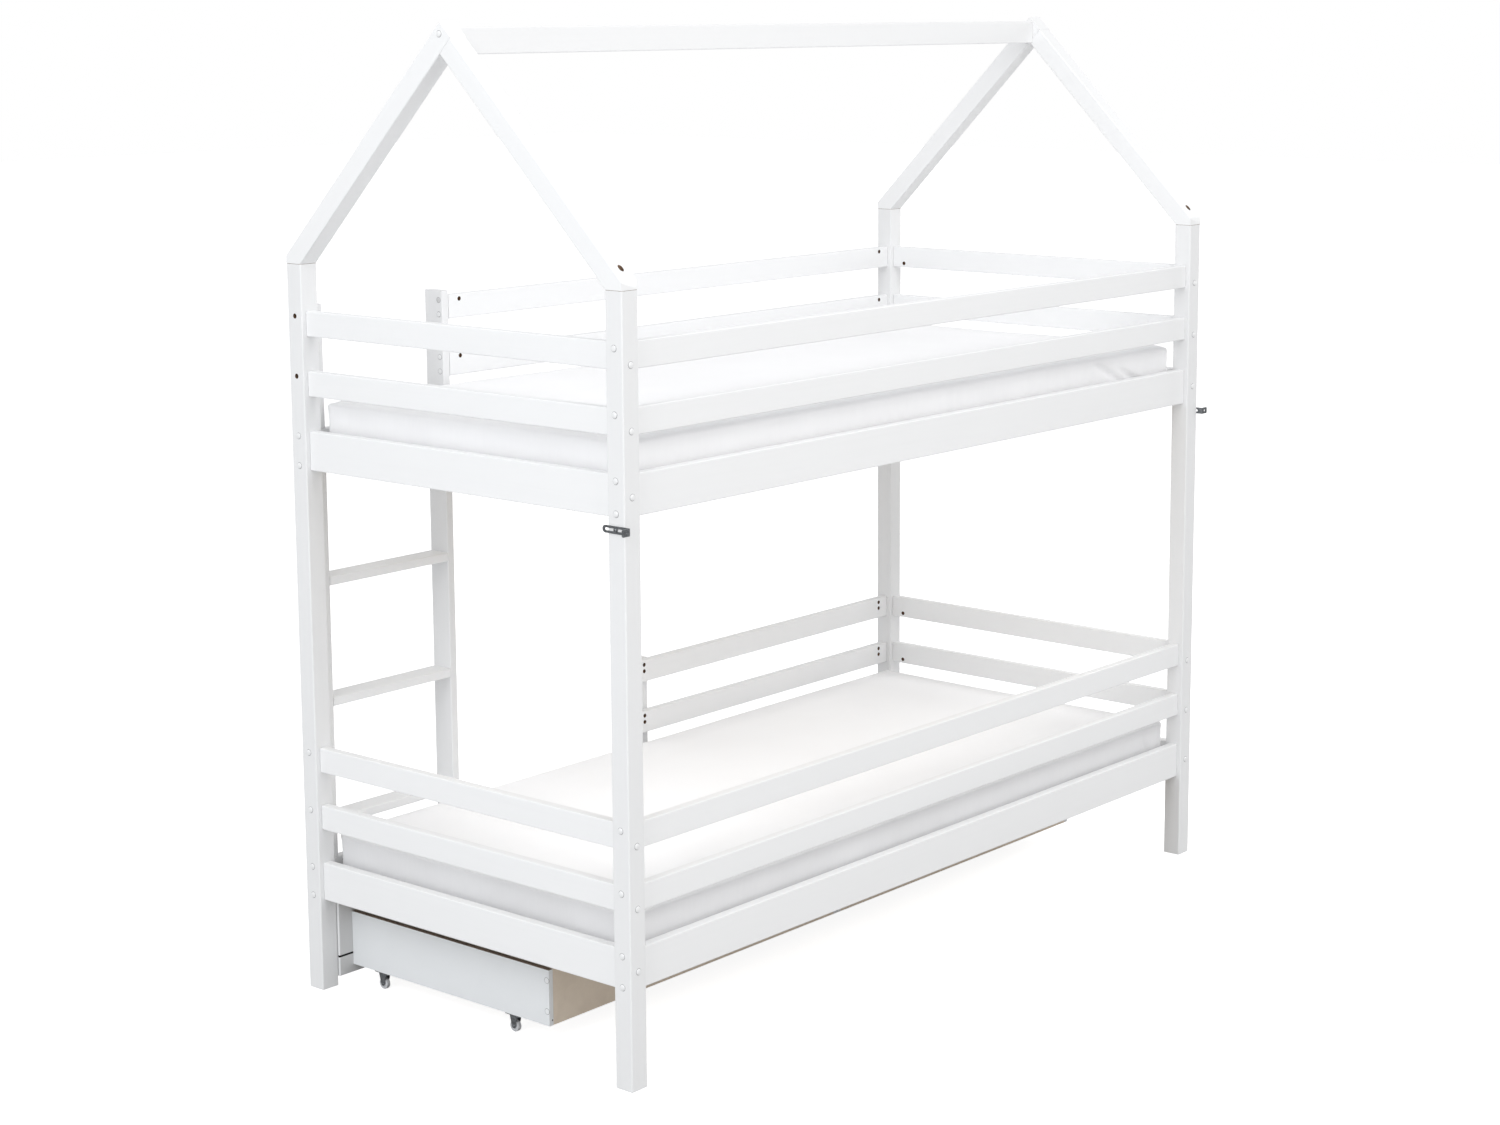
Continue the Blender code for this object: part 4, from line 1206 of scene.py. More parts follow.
@dataclass
class Boards:
    """Side rails, end rails and guard boards of both levels, with the barrel nuts in their inner faces."""

    bed: Bed
    nut_from_end: float = 0.0357
    nut_from_stile: float = 0.0321
    nut_from_free_end: float = 0.021
    end_nut_from_end: float = 0.0347
    nut_turn: float = 35.0
    nut_turn_step: float = 67.0

    def build(self) -> Pieces:
        """Build all the boards.

        Returns:
            The finished pieces.
        """
        sides = (("front", Axis.X, (0, -1, 0)), ("back", Axis.X, (0, 1, 0)),
                 ("left", Axis.Y, (-1, 0, 0)), ("right", Axis.Y, (1, 0, 0)))
        pieces = []
        for level in Level:
            for side, axis, out in sides:
                for kind in ("rail", "guard_low", "guard_top"):
                    pieces += self.board(level, side, kind, axis, Vector(out))
        return pieces

    def board(self, level: Level, side: str, kind: str, axis: Axis, out: Vector) -> Pieces:
        """Build one board and its nuts.

        Args:
            level: Upper or lower bed.
            side: front, back, left or right.
            kind: rail, guard_low or guard_top.
            axis: The way the board runs.
            out: The way its outer face looks.

        Returns:
            The board, and its nuts as one piece.
        """
        family, _, place = kind.partition("_")
        node = f"{level.value}_{family}_{side}" + (f"_{place}" if place else "")
        low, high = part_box(node)
        filled, empty = self.holes(level, side, kind, low, high, axis, out)
        grain = Grain.LENGTH if axis is Axis.X else Grain.ACROSS
        timber = Workpiece().board(low, high, axis).drill(filled + empty)
        pieces = [timber.finish(f"{node}_timber", (painted(grain), BORED_PINE_PAINTED_SHADE), slot=PAINT_SLOT,
                                stands_for=[node])]
        nuts = Workpiece()
        for number, hole in enumerate(filled):
            BarrelNut().add_to(nuts, hole, self.nut_turn + self.nut_turn_step * number)
        # The nuts take brass darkened with painted shade.
        pieces.append(nuts.finish(f"{node}_nuts", [BRASS_PAINTED_SHADE]))
        return pieces

    def holes(self, level: Level, side: str, kind: str, low: Vector, high: Vector, axis: Axis,
              out: Vector) -> tuple[list[Hole], list[Hole]]:
        """Work out the holes in a board's inner face.

        Args:
            level: Upper or lower bed.
            side: front, back, left or right.
            kind: rail, guard_low or guard_top.
            low: Lowest corner of the board.
            high: Highest corner of the board.
            axis: The way the board runs.
            out: The way its outer face looks.

        Returns:
            The holes that hold a nut, and the ones that stay empty.
        """
        start = self.end_nut_from_end if axis is Axis.Y else self.nut_from_end
        finish = start
        free = side == "front" and kind != "rail"
        if free:
            finish = self.nut_from_stile if level is Level.UPPER else self.nut_from_free_end
        shift = self.bed.module / 2
        if kind == "rail":
            rises = (-2 * shift, 2 * shift) if axis is Axis.X else (0.0,)
        else:
            rises = (shift,) if axis is Axis.X else (-shift,)
        filled: list[Hole] = []
        empty: list[Hole] = []
        for end in (low[axis.value] + start, high[axis.value] - finish):
            mouth = (low + high) / 2 - out * self.bed.board / 2
            mouth[axis.value] = end
            holes = [Hole(mouth + up(rise), out) for rise in rises]
            if free and level is Level.LOWER:
                empty += holes
                holes = [Hole(mouth, out)]
            filled += holes
        return filled, empty


@dataclass
class GuardUpright:
    """Short upright outside the lower front boards."""

    def build(self) -> Pieces:
        """Build the upright.

        Returns:
            The finished piece.
        """
        low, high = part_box("lower_guard_upright")
        timber = Workpiece().board(low, high, Axis.Z)
        return [timber.finish("lower_guard_upright_timber", [painted(Grain.UPRIGHT)], slot=PAINT_SLOT,
                              stands_for=["lower_guard_upright"])]


@dataclass
class Ladder:
    """Two notched stiles, three rungs and the caps on the free stile."""

    bed: Bed
    thick: float = 0.020
    ease: float = 0.0025
    long_edge: float = 0.2
    cap_radius: float = 0.0055
    cap_proud: float = 0.0015
    rung_tops: tuple[float, ...] = (0.377, 0.6448, 0.9126)
    caps_up: tuple[int, ...] = (10, 9, 6, 5)

    def build(self) -> Pieces:
        """Build the ladder.

        Returns:
            The finished pieces.
        """
        low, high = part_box("ladder_stile")
        free_low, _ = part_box("ladder_stile_with_rungs")
        stiles = (("outer", low.x, "ladder_stile"), ("inner", free_low.x, "ladder_stile_with_rungs"))
        pieces = []
        for place, start, node in stiles:
            stile = Workpiece().outline(self.outline(low, high), Axis.X, start, start + self.thick)
            stile.ease_outline(Axis.X, self.ease, self.long_edge)
            pieces.append(stile.finish(f"ladder_{place}_stile", [painted(Grain.UPRIGHT)], slot=PAINT_SLOT,
                                       stands_for=[node]))
        for number, top in enumerate(self.rung_tops, start=1):
            rung_low = Vector((free_low.x + self.thick, low.y, top - self.thick))
            rung = Workpiece().board(rung_low, Vector((low.x - self.bed.fit, high.y, top)), Axis.X)
            pieces.append(rung.finish(f"ladder_rung_{number}", [painted(Grain.LENGTH)], slot=PAINT_SLOT))
        pieces += self.caps(free_low.x + self.thick)
        return pieces

    def outline(self, low: Vector, high: Vector) -> Points:
        """Side view of a stile, notched over the upper side rail and seated over the lower one.

        Args:
            low: Lowest corner of the stile's box.
            high: Highest corner.

        Returns:
            The outline's points across the bed and up.
        """
        fit = self.bed.fit
        lower_low, lower_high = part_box("lower_rail_front")
        upper_low, upper_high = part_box("upper_rail_front")
        face = lower_low.y - fit
        seat, under, over = lower_high.z + fit, upper_low.z - fit, upper_high.z + fit
        return [(low.y, low.z), (face, low.z), (face, seat), (high.y, seat), (high.y, under), (face, under),
                (face, over), (high.y, over), (high.y, high.z), (low.y, high.z)]

    def caps(self, face_x: float) -> Pieces:
        """Build the caps on the free stile; the topmost is a grey one.

        Args:
            face_x: Where the stile's outer face lies.

        Returns:
            The grey cap and the three white ones.
        """
        pieces = []
        y = self.bed.place(Corner.FRONT_RIGHT).y
        groups = (("grey", self.caps_up[:1], GREY_PLASTIC), ("white", self.caps_up[1:], CAP_PLASTIC))
        for name, steps, finish in groups:
            caps = Workpiece()
            for step in steps:
                at = Vector((face_x, y, self.bed.hole_height(Level.UPPER, step)))
                BoltCap(self.cap_radius, self.cap_proud).add_to(caps, at, Vector((1, 0, 0)))
            pieces.append(caps.finish(f"ladder_{name}_caps", (finish, CAP_SHADE)))
        return pieces


@dataclass
class Roof:
    """Two gables of two rafters and the ridge beam, with the screws in the rafters' feet."""

    bed: Bed
    ease: float = 0.003
    foot_hole_floor: float = 0.016
    foot_hole_radius: float = 0.006
    foot_screw_sunk: float = 0.0015
    long_edge: float = 0.3
    ridge_cap_below: float = 0.0128

    def build(self) -> Pieces:
        """Build the roof.

        Returns:
            The finished pieces.
        """
        pieces = []
        for corner in Corner:
            front = corner.value[1] < 0
            foot = self.bed.place(corner)
            start = foot.x - self.bed.post / 2
            rafter = Workpiece().outline(self.outline(front), Axis.X, start, start + self.bed.post)
            rafter.ease_outline(Axis.X, self.ease, self.long_edge)
            mouth = foot + up(self.bed.post_top + self.bed.post)
            depth = self.bed.post - self.foot_hole_floor
            rafter.drill([Hole(mouth, -up(1), self.foot_hole_radius, depth)])
            grain = Grain.FRONT_SLOPE if front else Grain.BACK_SLOPE
            node = f"rafter_{corner.label}"
            pieces.append(rafter.finish(f"{node}_timber", (painted(grain), BORED_PINE_PAINTED_SHADE), slot=PAINT_SLOT,
                                        stands_for=[node]))
            screw = Workpiece()
            floor = foot + up(self.bed.post_top + self.foot_hole_floor - self.foot_screw_sunk)
            Screw(radius=0.0042, height=0.0024).add_to(screw, floor, up(1))
            pieces.append(screw.finish(f"{node}_screw", [DARK_STEEL]))
        low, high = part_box("ridge_beam")
        beam = Workpiece().board(low, high, Axis.X)
        pieces.append(beam.finish("ridge_beam_timber", [painted(Grain.LENGTH)], slot=PAINT_SLOT,
                                  stands_for=["ridge_beam"]))
        pieces.append(self.caps(high.z))
        return pieces

    def outline(self, front: bool) -> Points:
        """Side view of a rafter; the front one runs to the apex and the back one butts against it.

        Args:
            front: True for the rafter on the ladder's side.

        Returns:
            The outline's points across the bed and up.
        """
        bed = self.bed
        inner = bed.post_y - bed.post / 2
        outer = bed.post_y + bed.post / 2
        foot = bed.post_top + bed.fit
        heel = bed.post_top + bed.post * (math.sqrt(2) - 1)
        apex = heel + outer
        end = bed.post / math.sqrt(2)
        gap = bed.fit / math.sqrt(2)
        if front:
            points = [(-inner, foot), (-outer, foot), (-outer, heel), (0.0, apex), (end, apex - end)]
        else:
            points = [(inner, foot), (outer, foot), (outer, heel), (end + gap, apex - end - gap),
                      (gap, apex - bed.post * math.sqrt(2) - gap)]
        return [(bed.middle_y + y, z) for y, z in points]

    def caps(self, ridge_top: float) -> bpy.types.Object:
        """Build the caps over the ridge beam's bolts.

        Args:
            ridge_top: Height of the beam's upper edge.

        Returns:
            Both caps as one piece.
        """
        caps = Workpiece()
        for sign in (-1, 1):
            at = Vector((sign * (self.bed.post_x + self.bed.post / 2), self.bed.middle_y,
                         ridge_top - self.ridge_cap_below))
            BoltCap().add_to(caps, at, Vector((sign, 0, 0)))
        return caps.finish("ridge_caps", (CAP_PLASTIC, CAP_SHADE), slot=PAINT_SLOT)


@dataclass
class SlattedBase:
    """Slats on two ledgers, each slat held by a screw at both ends."""

    bed: Bed
    level: Level
    count: int = 14
    span: float = 1.885
    thick: float = 0.018
    wide: float = 0.068
    slat_ease: float = 0.004
    ledger_deep: float = 0.022
    ledger_short: float = 0.060
    ledger_ease: float = 0.0015
    screw_sunk: float = 0.0004

    def build(self) -> Pieces:
        """Build the ledgers, the slats and their screws.

        Returns:
            The finished pieces.
        """
        node = f"{self.level.value}_slatted_base"
        low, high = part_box(node)
        pieces = []
        screws = Workpiece()
        reach = self.bed.post_x - self.bed.post / 2 - self.ledger_short
        for name, start in (("front", low.y), ("back", high.y - self.ledger_deep)):
            ledger_low = Vector((-reach, start, low.z))
            ledger_high = Vector((reach, start + self.ledger_deep, high.z - self.thick - self.bed.fit))
            ledger = Workpiece().board(ledger_low, ledger_high, Axis.X, self.ledger_ease)
            pieces.append(ledger.finish(f"{self.level.value}_ledger_{name}", [plain(Grain.LENGTH)],
                                        slot="plain_wood"))
        for number in range(self.count):
            x = -self.span / 2 + self.span * number / (self.count - 1)
            slat_low = Vector((x - self.wide / 2, low.y, high.z - self.thick))
            slat_high = Vector((x + self.wide / 2, high.y, high.z))
            slat = Workpiece().board(slat_low, slat_high, Axis.Y, self.slat_ease)
            pieces.append(slat.finish(f"{self.level.value}_slat_{number + 1:02d}", [plain(Grain.ACROSS)],
                                      slot="plain_wood", stands_for=[node] if number == 0 else []))
            for y in (low.y + self.ledger_deep / 2, high.y - self.ledger_deep / 2):
                at = Vector((x, y, high.z - self.screw_sunk))
                Screw(radius=0.0035, height=0.0006).add_to(screws, at, up(1))
        pieces.append(screws.finish(f"{self.level.value}_slat_screws", [ZINC], slot="zinc_steel"))
        return pieces


LONG_SIDE_FROM = 0.38


@dataclass(frozen=True)
class Crease:
    """A line pressed into a mattress's long side: its place on the side, how it leans, and its size."""

    side: int
    at: float
    lean: float
    deep: float
    start: float = 0.0
    end: float = 1.0
    half_wide: float = 0.009

    def depth(self, place: Vector, share: float) -> float:
        """Depth at a point of the sides.

        Args:
            place: The point.
            share: Its height, 0 at the bottom and 1 at the rim.

        Returns:
            How far the point is pressed in.
        """
        if place.y * self.side < LONG_SIDE_FROM or not self.start < share < self.end:
            return 0.0
        off = (place.x - self.at - self.lean * (share - 0.5)) / self.half_wide
        fade = math.sin(math.pi * (share - self.start) / (self.end - self.start))
        return self.deep * math.exp(-off * off) * fade


@dataclass
class Mattress:
    """Foam mattress in a knitted cover with round corners, a crowned top and soft creases in its sides."""

    level: Level
    seed: float = 0.0
    corner: float = 0.022
    rim: float = 0.014
    crown: float = 0.014
    cell: float = 0.0135
    pressure: float = 4.0
    frames: int = 20
    most_moved: float = 0.004
    fuller: float = 0.004
    tight_corner: float = 0.030
    tight_rim: float = 0.022
    squareness: float = 3.5
    crown_share: float = 0.92
    side_sharpness: float = 1.4
    waist: float = 0.0022
    ripple: float = 0.0010
    sway: float = 0.0014
    softness: float = 0.0016
    ripple_waves: tuple[float, float] = (26.0, 1.3)
    sway_waves: tuple[float, float] = (5.0, 0.8)
    soft_waves: tuple[float, float] = (3.1, 3.7)
    creases: tuple[Crease, ...] = ()

    def build(self) -> Pieces:
        """Build the mattress.

        Returns:
            The finished piece.
        """
        node = f"{self.level.value}_mattress"
        low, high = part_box(node)
        mesh = self.filled(low, high)
        mesh = self.simulated(mesh)
        mesh = self.creased(mesh, low, high)
        # Each level takes its own copy of the cover, toned apart as painted light.
        cover = UPPER_COVER_PAINTED_LIGHT if self.level is Level.UPPER else LOWER_COVER_PAINTED_LIGHT
        mesh.materials.append(cover.material())
        mesh.shade_smooth()
        piece = placed(f"{node}_cover", mesh)
        return [settle(piece, "bed", [node])]

    def filled(self, low: Vector, high: Vector) -> bpy.types.Mesh:
        """Make the foam's shape, with an even net of cells.

        Args:
            low: Lowest corner of the mattress's box.
            high: Highest corner.

        Returns:
            The mesh.
        """
        swell = self.most_moved * 0.5
        shrink = Vector((swell, swell - self.fuller, 0.0))
        top = Vector((high.x, high.y, high.z - self.crown))
        foam = Workpiece().block(low + shrink, top - shrink)
        foam.ease(self.corner - swell, Axis.Z, 8)
        foam.shape.normal_update()
        rims = [edge for edge in foam.shape.edges
                if any(abs(face.normal.z) > 0.9 for face in edge.link_faces)
                and any(abs(face.normal.z) < 0.1 for face in edge.link_faces)]
        foam.round_edges(rims, self.rim, 5)
        return self.evaluated(foam.mesh("foam"), "REMESH", mode="VOXEL", voxel_size=self.cell, adaptivity=0.0)

    def evaluated(self, mesh: bpy.types.Mesh, kind: str, **settings: object) -> bpy.types.Mesh:
        """Run a mesh through one modifier.

        Args:
            mesh: The mesh, which is used up.
            kind: Type of the modifier.
            settings: Values of its properties.

        Returns:
            The new mesh.
        """
        body = placed("cover_in_work", mesh)
        worker = body.modifiers.new("work", kind)
        for name, value in settings.items():
            setattr(worker, name, value)
        return applied(body)

    def simulated(self, mesh: bpy.types.Mesh) -> bpy.types.Mesh:
        """Fill the cover under pressure as cloth, and hold back how far it moves.

        Args:
            mesh: The foam's mesh, which is used up.

        Returns:
            The mesh after the simulation.
        """
        rest = [vert.co.copy() for vert in mesh.vertices]
        body = placed("cover_in_work", mesh)
        cloth = body.modifiers.new("cover", "CLOTH")
        knit = {"quality": 4, "mass": 0.3, "tension_stiffness": 12.0, "compression_stiffness": 12.0,
                "shear_stiffness": 4.0, "bending_stiffness": 0.6, "air_damping": 3.0, "use_pressure": True,
                "uniform_pressure_force": self.pressure, "shrink_min": -0.012}
        for name, value in knit.items():
            setattr(cloth.settings, name, value)
        cloth.settings.effector_weights.gravity = 0.0
        cloth.point_cache.frame_start = 1
        cloth.point_cache.frame_end = self.frames
        scene = bpy.context.scene
        for number in range(1, self.frames + 1):
            scene.frame_set(number)
        made = applied(body)
        scene.frame_set(1)
        for vert, start in zip(made.vertices, rest):
            move = vert.co - start
            if move.length > self.most_moved:
                move *= self.most_moved / move.length
            vert.co = start + move
        return made

    def creased(self, mesh: bpy.types.Mesh, low: Vector, high: Vector) -> bpy.types.Mesh:
        """Crown the top, press the soft creases into the sides and keep the cover in its space.

        Args:
            mesh: The cover's mesh, which is used up.
            low: Lowest corner of the mattress's box.
            high: Highest corner.

        Returns:
            The finished mesh.
        """
        mesh = self.evaluated(mesh, "SUBSURF", levels=1, render_levels=1)
        self.square_up(mesh, low, high)
        centre = (low + high) / 2
        half = (high - low) / 2
        edge_z = high.z - self.crown
        normals = [vert.normal.copy() for vert in mesh.vertices]
        for vert, normal in zip(mesh.vertices, normals):
            place = vert.co
            along = abs(place.x - centre.x) / half.x
            across = abs(place.y - centre.y) / half.y
            share = (place.z - low.z) / (edge_z - low.z)
            lift = (1 - along ** 6) * (1 - across ** 4)
            place.z += self.crown * max(lift, 0.0) * max(share, 0.0) ** 3 * self.crown_share
            side = 1.0 - min(abs(normal.z) * self.side_sharpness, 1.0)
            if side > 0.0:
                place += normal * side * self.fold(place, share)
            waves_x, waves_y = self.soft_waves
            soft = noise.noise(Vector((place.x * waves_x, place.y * waves_y, self.seed))) * self.softness
            place.z += soft * max(normal.z, 0.0)
            place.x = min(max(place.x, low.x), high.x)
            place.y = min(max(place.y, low.y - self.fuller), high.y + self.fuller)
            place.z = min(max(place.z, low.z), high.z)
        mesh.update()
        return mesh

    def square_up(self, mesh: bpy.types.Mesh, low: Vector, high: Vector) -> None:
        """Tighten the round corners and the rim, as the welted edge of a cover does.

        Args:
            mesh: The cover's mesh, which is changed.
            low: Lowest corner of the mattress's box.
            high: Highest corner.
        """
        centre = (low + high) / 2
        half = (high - low) / 2
        edge_z = high.z - self.crown
        for vert in mesh.vertices:
            place = vert.co
            side_x = math.copysign(1.0, place.x - centre.x)
            side_y = math.copysign(1.0, place.y - centre.y)
            reach_x = abs(place.x - centre.x) - half.x + self.tight_corner
            reach_y = abs(place.y - centre.y) - half.y + self.tight_corner
            more = self.squared(reach_x, reach_y)
            place.x += side_x * more * reach_x
            place.y += side_y * more * reach_y
            for axis, side in ((0, side_x), (1, side_y)):
                reach = abs(place[axis] - centre[axis]) - half[axis] + self.tight_rim
                rise = min(place.z, edge_z) - edge_z + self.tight_rim
                more = self.squared(reach, rise)
                place[axis] += side * more * reach
                if place.z < edge_z:
                    place.z = min(place.z + more * rise, edge_z)

    def squared(self, first: float, second: float) -> float:
        """Share by which a point on a quarter circle moves out to lie on a squarer curve.

        Args:
            first: Distance from the curve's centre in one direction.
            second: Distance in the other direction.

        Returns:
            The share to add to both, 0 outside the quarter.
        """
        if first <= 0.0 or second <= 0.0:
            return 0.0
        power = self.squareness
        return math.hypot(first, second) / (first ** power + second ** power) ** (1 / power) - 1.0

    def fold(self, place: Vector, share: float) -> float:
        """Depth of the folds at a point of the sides.

        Args:
            place: The point.
            share: Its height, 0 at the bottom and 1 at the rim.

        Returns:
            The move along the outward normal, mostly below zero.
        """
        run = place.x if abs(place.y) > LONG_SIDE_FROM else place.y
        along, rise = self.ripple_waves
        wave = noise.noise(Vector((run * along, share * rise + self.seed, self.seed)))
        along, rise = self.sway_waves
        broad = noise.noise(Vector((run * along, share * rise, self.seed + 7.0)))
        depth = self.sway * broad - self.ripple * abs(wave)
        for crease in self.creases:
            depth -= crease.depth(place, share)
        return depth - self.waist * math.sin(math.pi * min(max(share, 0.0), 1.0))


@dataclass
class Drawer:
    """One roll-out drawer: front, sides, back, grooved bottom with a batten, and four fixed castors."""

    side: str
    bed: Bed
    panel: float = 0.012
    bottom_thick: float = 0.004
    front_ease: float = 0.0018
    board_ease: float = 0.0006
    sheet_ease: float = 0.0005
    batten_ease: float = 0.0015
    groove_deep: float = 0.005
    past: float = 0.01
    inner_face_deep: float = 0.0001
    edge_deep: float = 0.0004
    batten_wide: float = 0.038
    cap_heights: tuple[float, ...] = (0.070, 0.137)
    cap_from_back: float = 0.006
    mark_height: float = 0.050
    pin_from_back: float = 0.003
    screw_sunk: float = 0.0015

    @property
    def body(self) -> str:
        """Body of the frame that the drawer is."""
        return f"{self.side}_drawer"

    @property
    def hand(self) -> float:
        """1 for the drawer on the +X side and -1 for the other."""
        return math.copysign(1.0, middle(f"{self.body}_back").x)

    def build(self) -> Pieces:
        """Build the drawer.

        Returns:
            The finished pieces.
        """
        pieces = [self.front(), self.back(), *self.sides(), *self.bottom(), *self.fittings()]
        panels_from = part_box(f"{self.body}_back")[0].z
        for number in range(1, 5):
            pieces += Castor(self.side, number, panels_from).build()
        return pieces

    def front(self) -> bpy.types.Object:
        """Build the painted front, with the groove for the bottom along its whole inner face.

        Returns:
            The finished piece.
        """
        low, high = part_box(f"{self.body}_front")
        _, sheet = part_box(f"{self.body}_bottom")
        fit = self.bed.fit
        groove_low = Vector((low.x - self.past, high.y - self.groove_deep, sheet.z - self.bottom_thick - fit))
        groove_high = Vector((high.x + self.past, high.y + self.past, sheet.z + fit))
        groove = Workpiece().block(groove_low, groove_high)
        panel = Workpiece().block(low, high).ease(self.front_ease)
        panel.cut(groove.mark(Workpiece.CUT_FACE))
        # Painted shade: the groove's faces take a near-black tone and the inner face a grey one.
        panel.mark(Workpiece.INNER_FACE, lambda at: at.y > high.y - self.inner_face_deep)
        finishes = (painted(Grain.LENGTH), GROOVE_SHADE, DRAWER_INNER_PAINTED_SHADE)
        node = f"{self.body}_front"
        return panel.finish(f"{node}_panel", finishes, self.body, PAINT_SLOT, [node])

    def back(self) -> bpy.types.Object:
        """Build the back board.

        Returns:
            The finished piece.
        """
        node = f"{self.body}_back"
        low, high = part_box(node)
        panel = Workpiece().block(low, high).ease(self.board_ease, steps=2)
        mark = Vector(((low.x + high.x) / 2, high.y, self.mark_height))
        panel.drill([Hole(mark, Vector((0, -1, 0)), radius=0.003, depth=0.002)])
        return panel.finish(f"{node}_panel", (DRAWER_BACK, DRAWER_EDGE), self.body, "drawer_board", [node])

    def faces(self, place: str) -> tuple[float, float]:
        """Work out where a side panel's two faces lie; the back board stands between the panels.

        Args:
            place: outer or inner.

        Returns:
            The face against the back board, and the face away from it.
        """
        low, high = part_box(f"{self.body}_back")
        if (self.hand > 0) == (place == "outer"):
            near = high.x + self.bed.fit
            return near, near + self.panel
        near = low.x - self.bed.fit
        return near, near - self.panel

    def sides(self) -> Pieces:
        """Build both side panels, laminated on their faces and raw on the upper edge.

        Returns:
            The finished pieces.
        """
        pieces = []
        back_low, back_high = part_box(f"{self.body}_back")
        for place in ("outer", "inner"):
            node = f"{self.body}_{place}_side"
            low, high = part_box(node)
            near, far = self.faces(place)
            panel_low = Vector((min(near, far), low.y, back_low.z))
            panel_high = Vector((max(near, far), high.y, back_high.z))
            panel = Workpiece().block(panel_low, panel_high).ease(self.board_ease, steps=2)
            panel.mark(Workpiece.CUT_FACE, lambda at: at.z > back_high.z - self.edge_deep)
            pin = Vector((near + math.copysign(self.pin_from_back, far - near), high.y, self.mark_height))
            panel.drill([Hole(pin, Vector((0, -1, 0)), radius=0.0018, depth=0.004)])
            pieces.append(panel.finish(f"{node}_panel", (DRAWER_SIDE, DRAWER_EDGE), self.body,
                                       "drawer_side_board", [node]))
        return pieces

    def bottom(self) -> Pieces:
        """Build the thin bottom and the batten under it.

        Returns:
            The finished pieces.
        """
        node = f"{self.body}_bottom"
        low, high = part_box(node)
        sheet_low = Vector((low.x, low.y, high.z - self.bottom_thick))
        sheet = Workpiece().block(sheet_low, high).ease(self.sheet_ease, steps=1)
        x = (low.x + high.x) / 2
        _, front_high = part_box(f"{self.body}_front")
        back_low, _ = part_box(f"{self.body}_back")
        fit = self.bed.fit
        batten_low = Vector((x - self.batten_wide / 2, front_high.y + fit, low.z))
        batten_high = Vector((x + self.batten_wide / 2, back_low.y - fit, high.z - self.bottom_thick - fit))
        batten = Workpiece().board(batten_low, batten_high, Axis.Y, self.batten_ease)
        return [
            sheet.finish(f"{node}_sheet", [DRAWER_BACK], self.body, "drawer_board", [node]),
            batten.finish(f"{node}_batten", [plain(Grain.ACROSS)], self.body, "drawer_board"),
        ]

    def fittings(self) -> Pieces:
        """Build the caps on the outer side and the screw in the back.

        Returns:
            The finished pieces.
        """
        _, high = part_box(f"{self.body}_outer_side")
        _, face_x = self.faces("outer")
        caps = Workpiece()
        for height in self.cap_heights:
            at = Vector((face_x, high.y - self.cap_from_back, height))
            BoltCap(radius=0.0060, proud=0.0009).add_to(caps, at, Vector((self.hand, 0, 0)))
        pieces = [caps.finish(f"{self.body}_caps", (DRAWER_CAP, CAP_SHADE), self.body)]
        back_low, back_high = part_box(f"{self.body}_back")
        screw = Workpiece()
        at = Vector(((back_low.x + back_high.x) / 2, back_high.y - self.screw_sunk, self.mark_height))
        Screw(radius=0.0026, height=0.0012).add_to(screw, at, Vector((0, 1, 0)))
        pieces.append(screw.finish(f"{self.body}_back_screw", [DARK_STEEL], self.body))
        return pieces


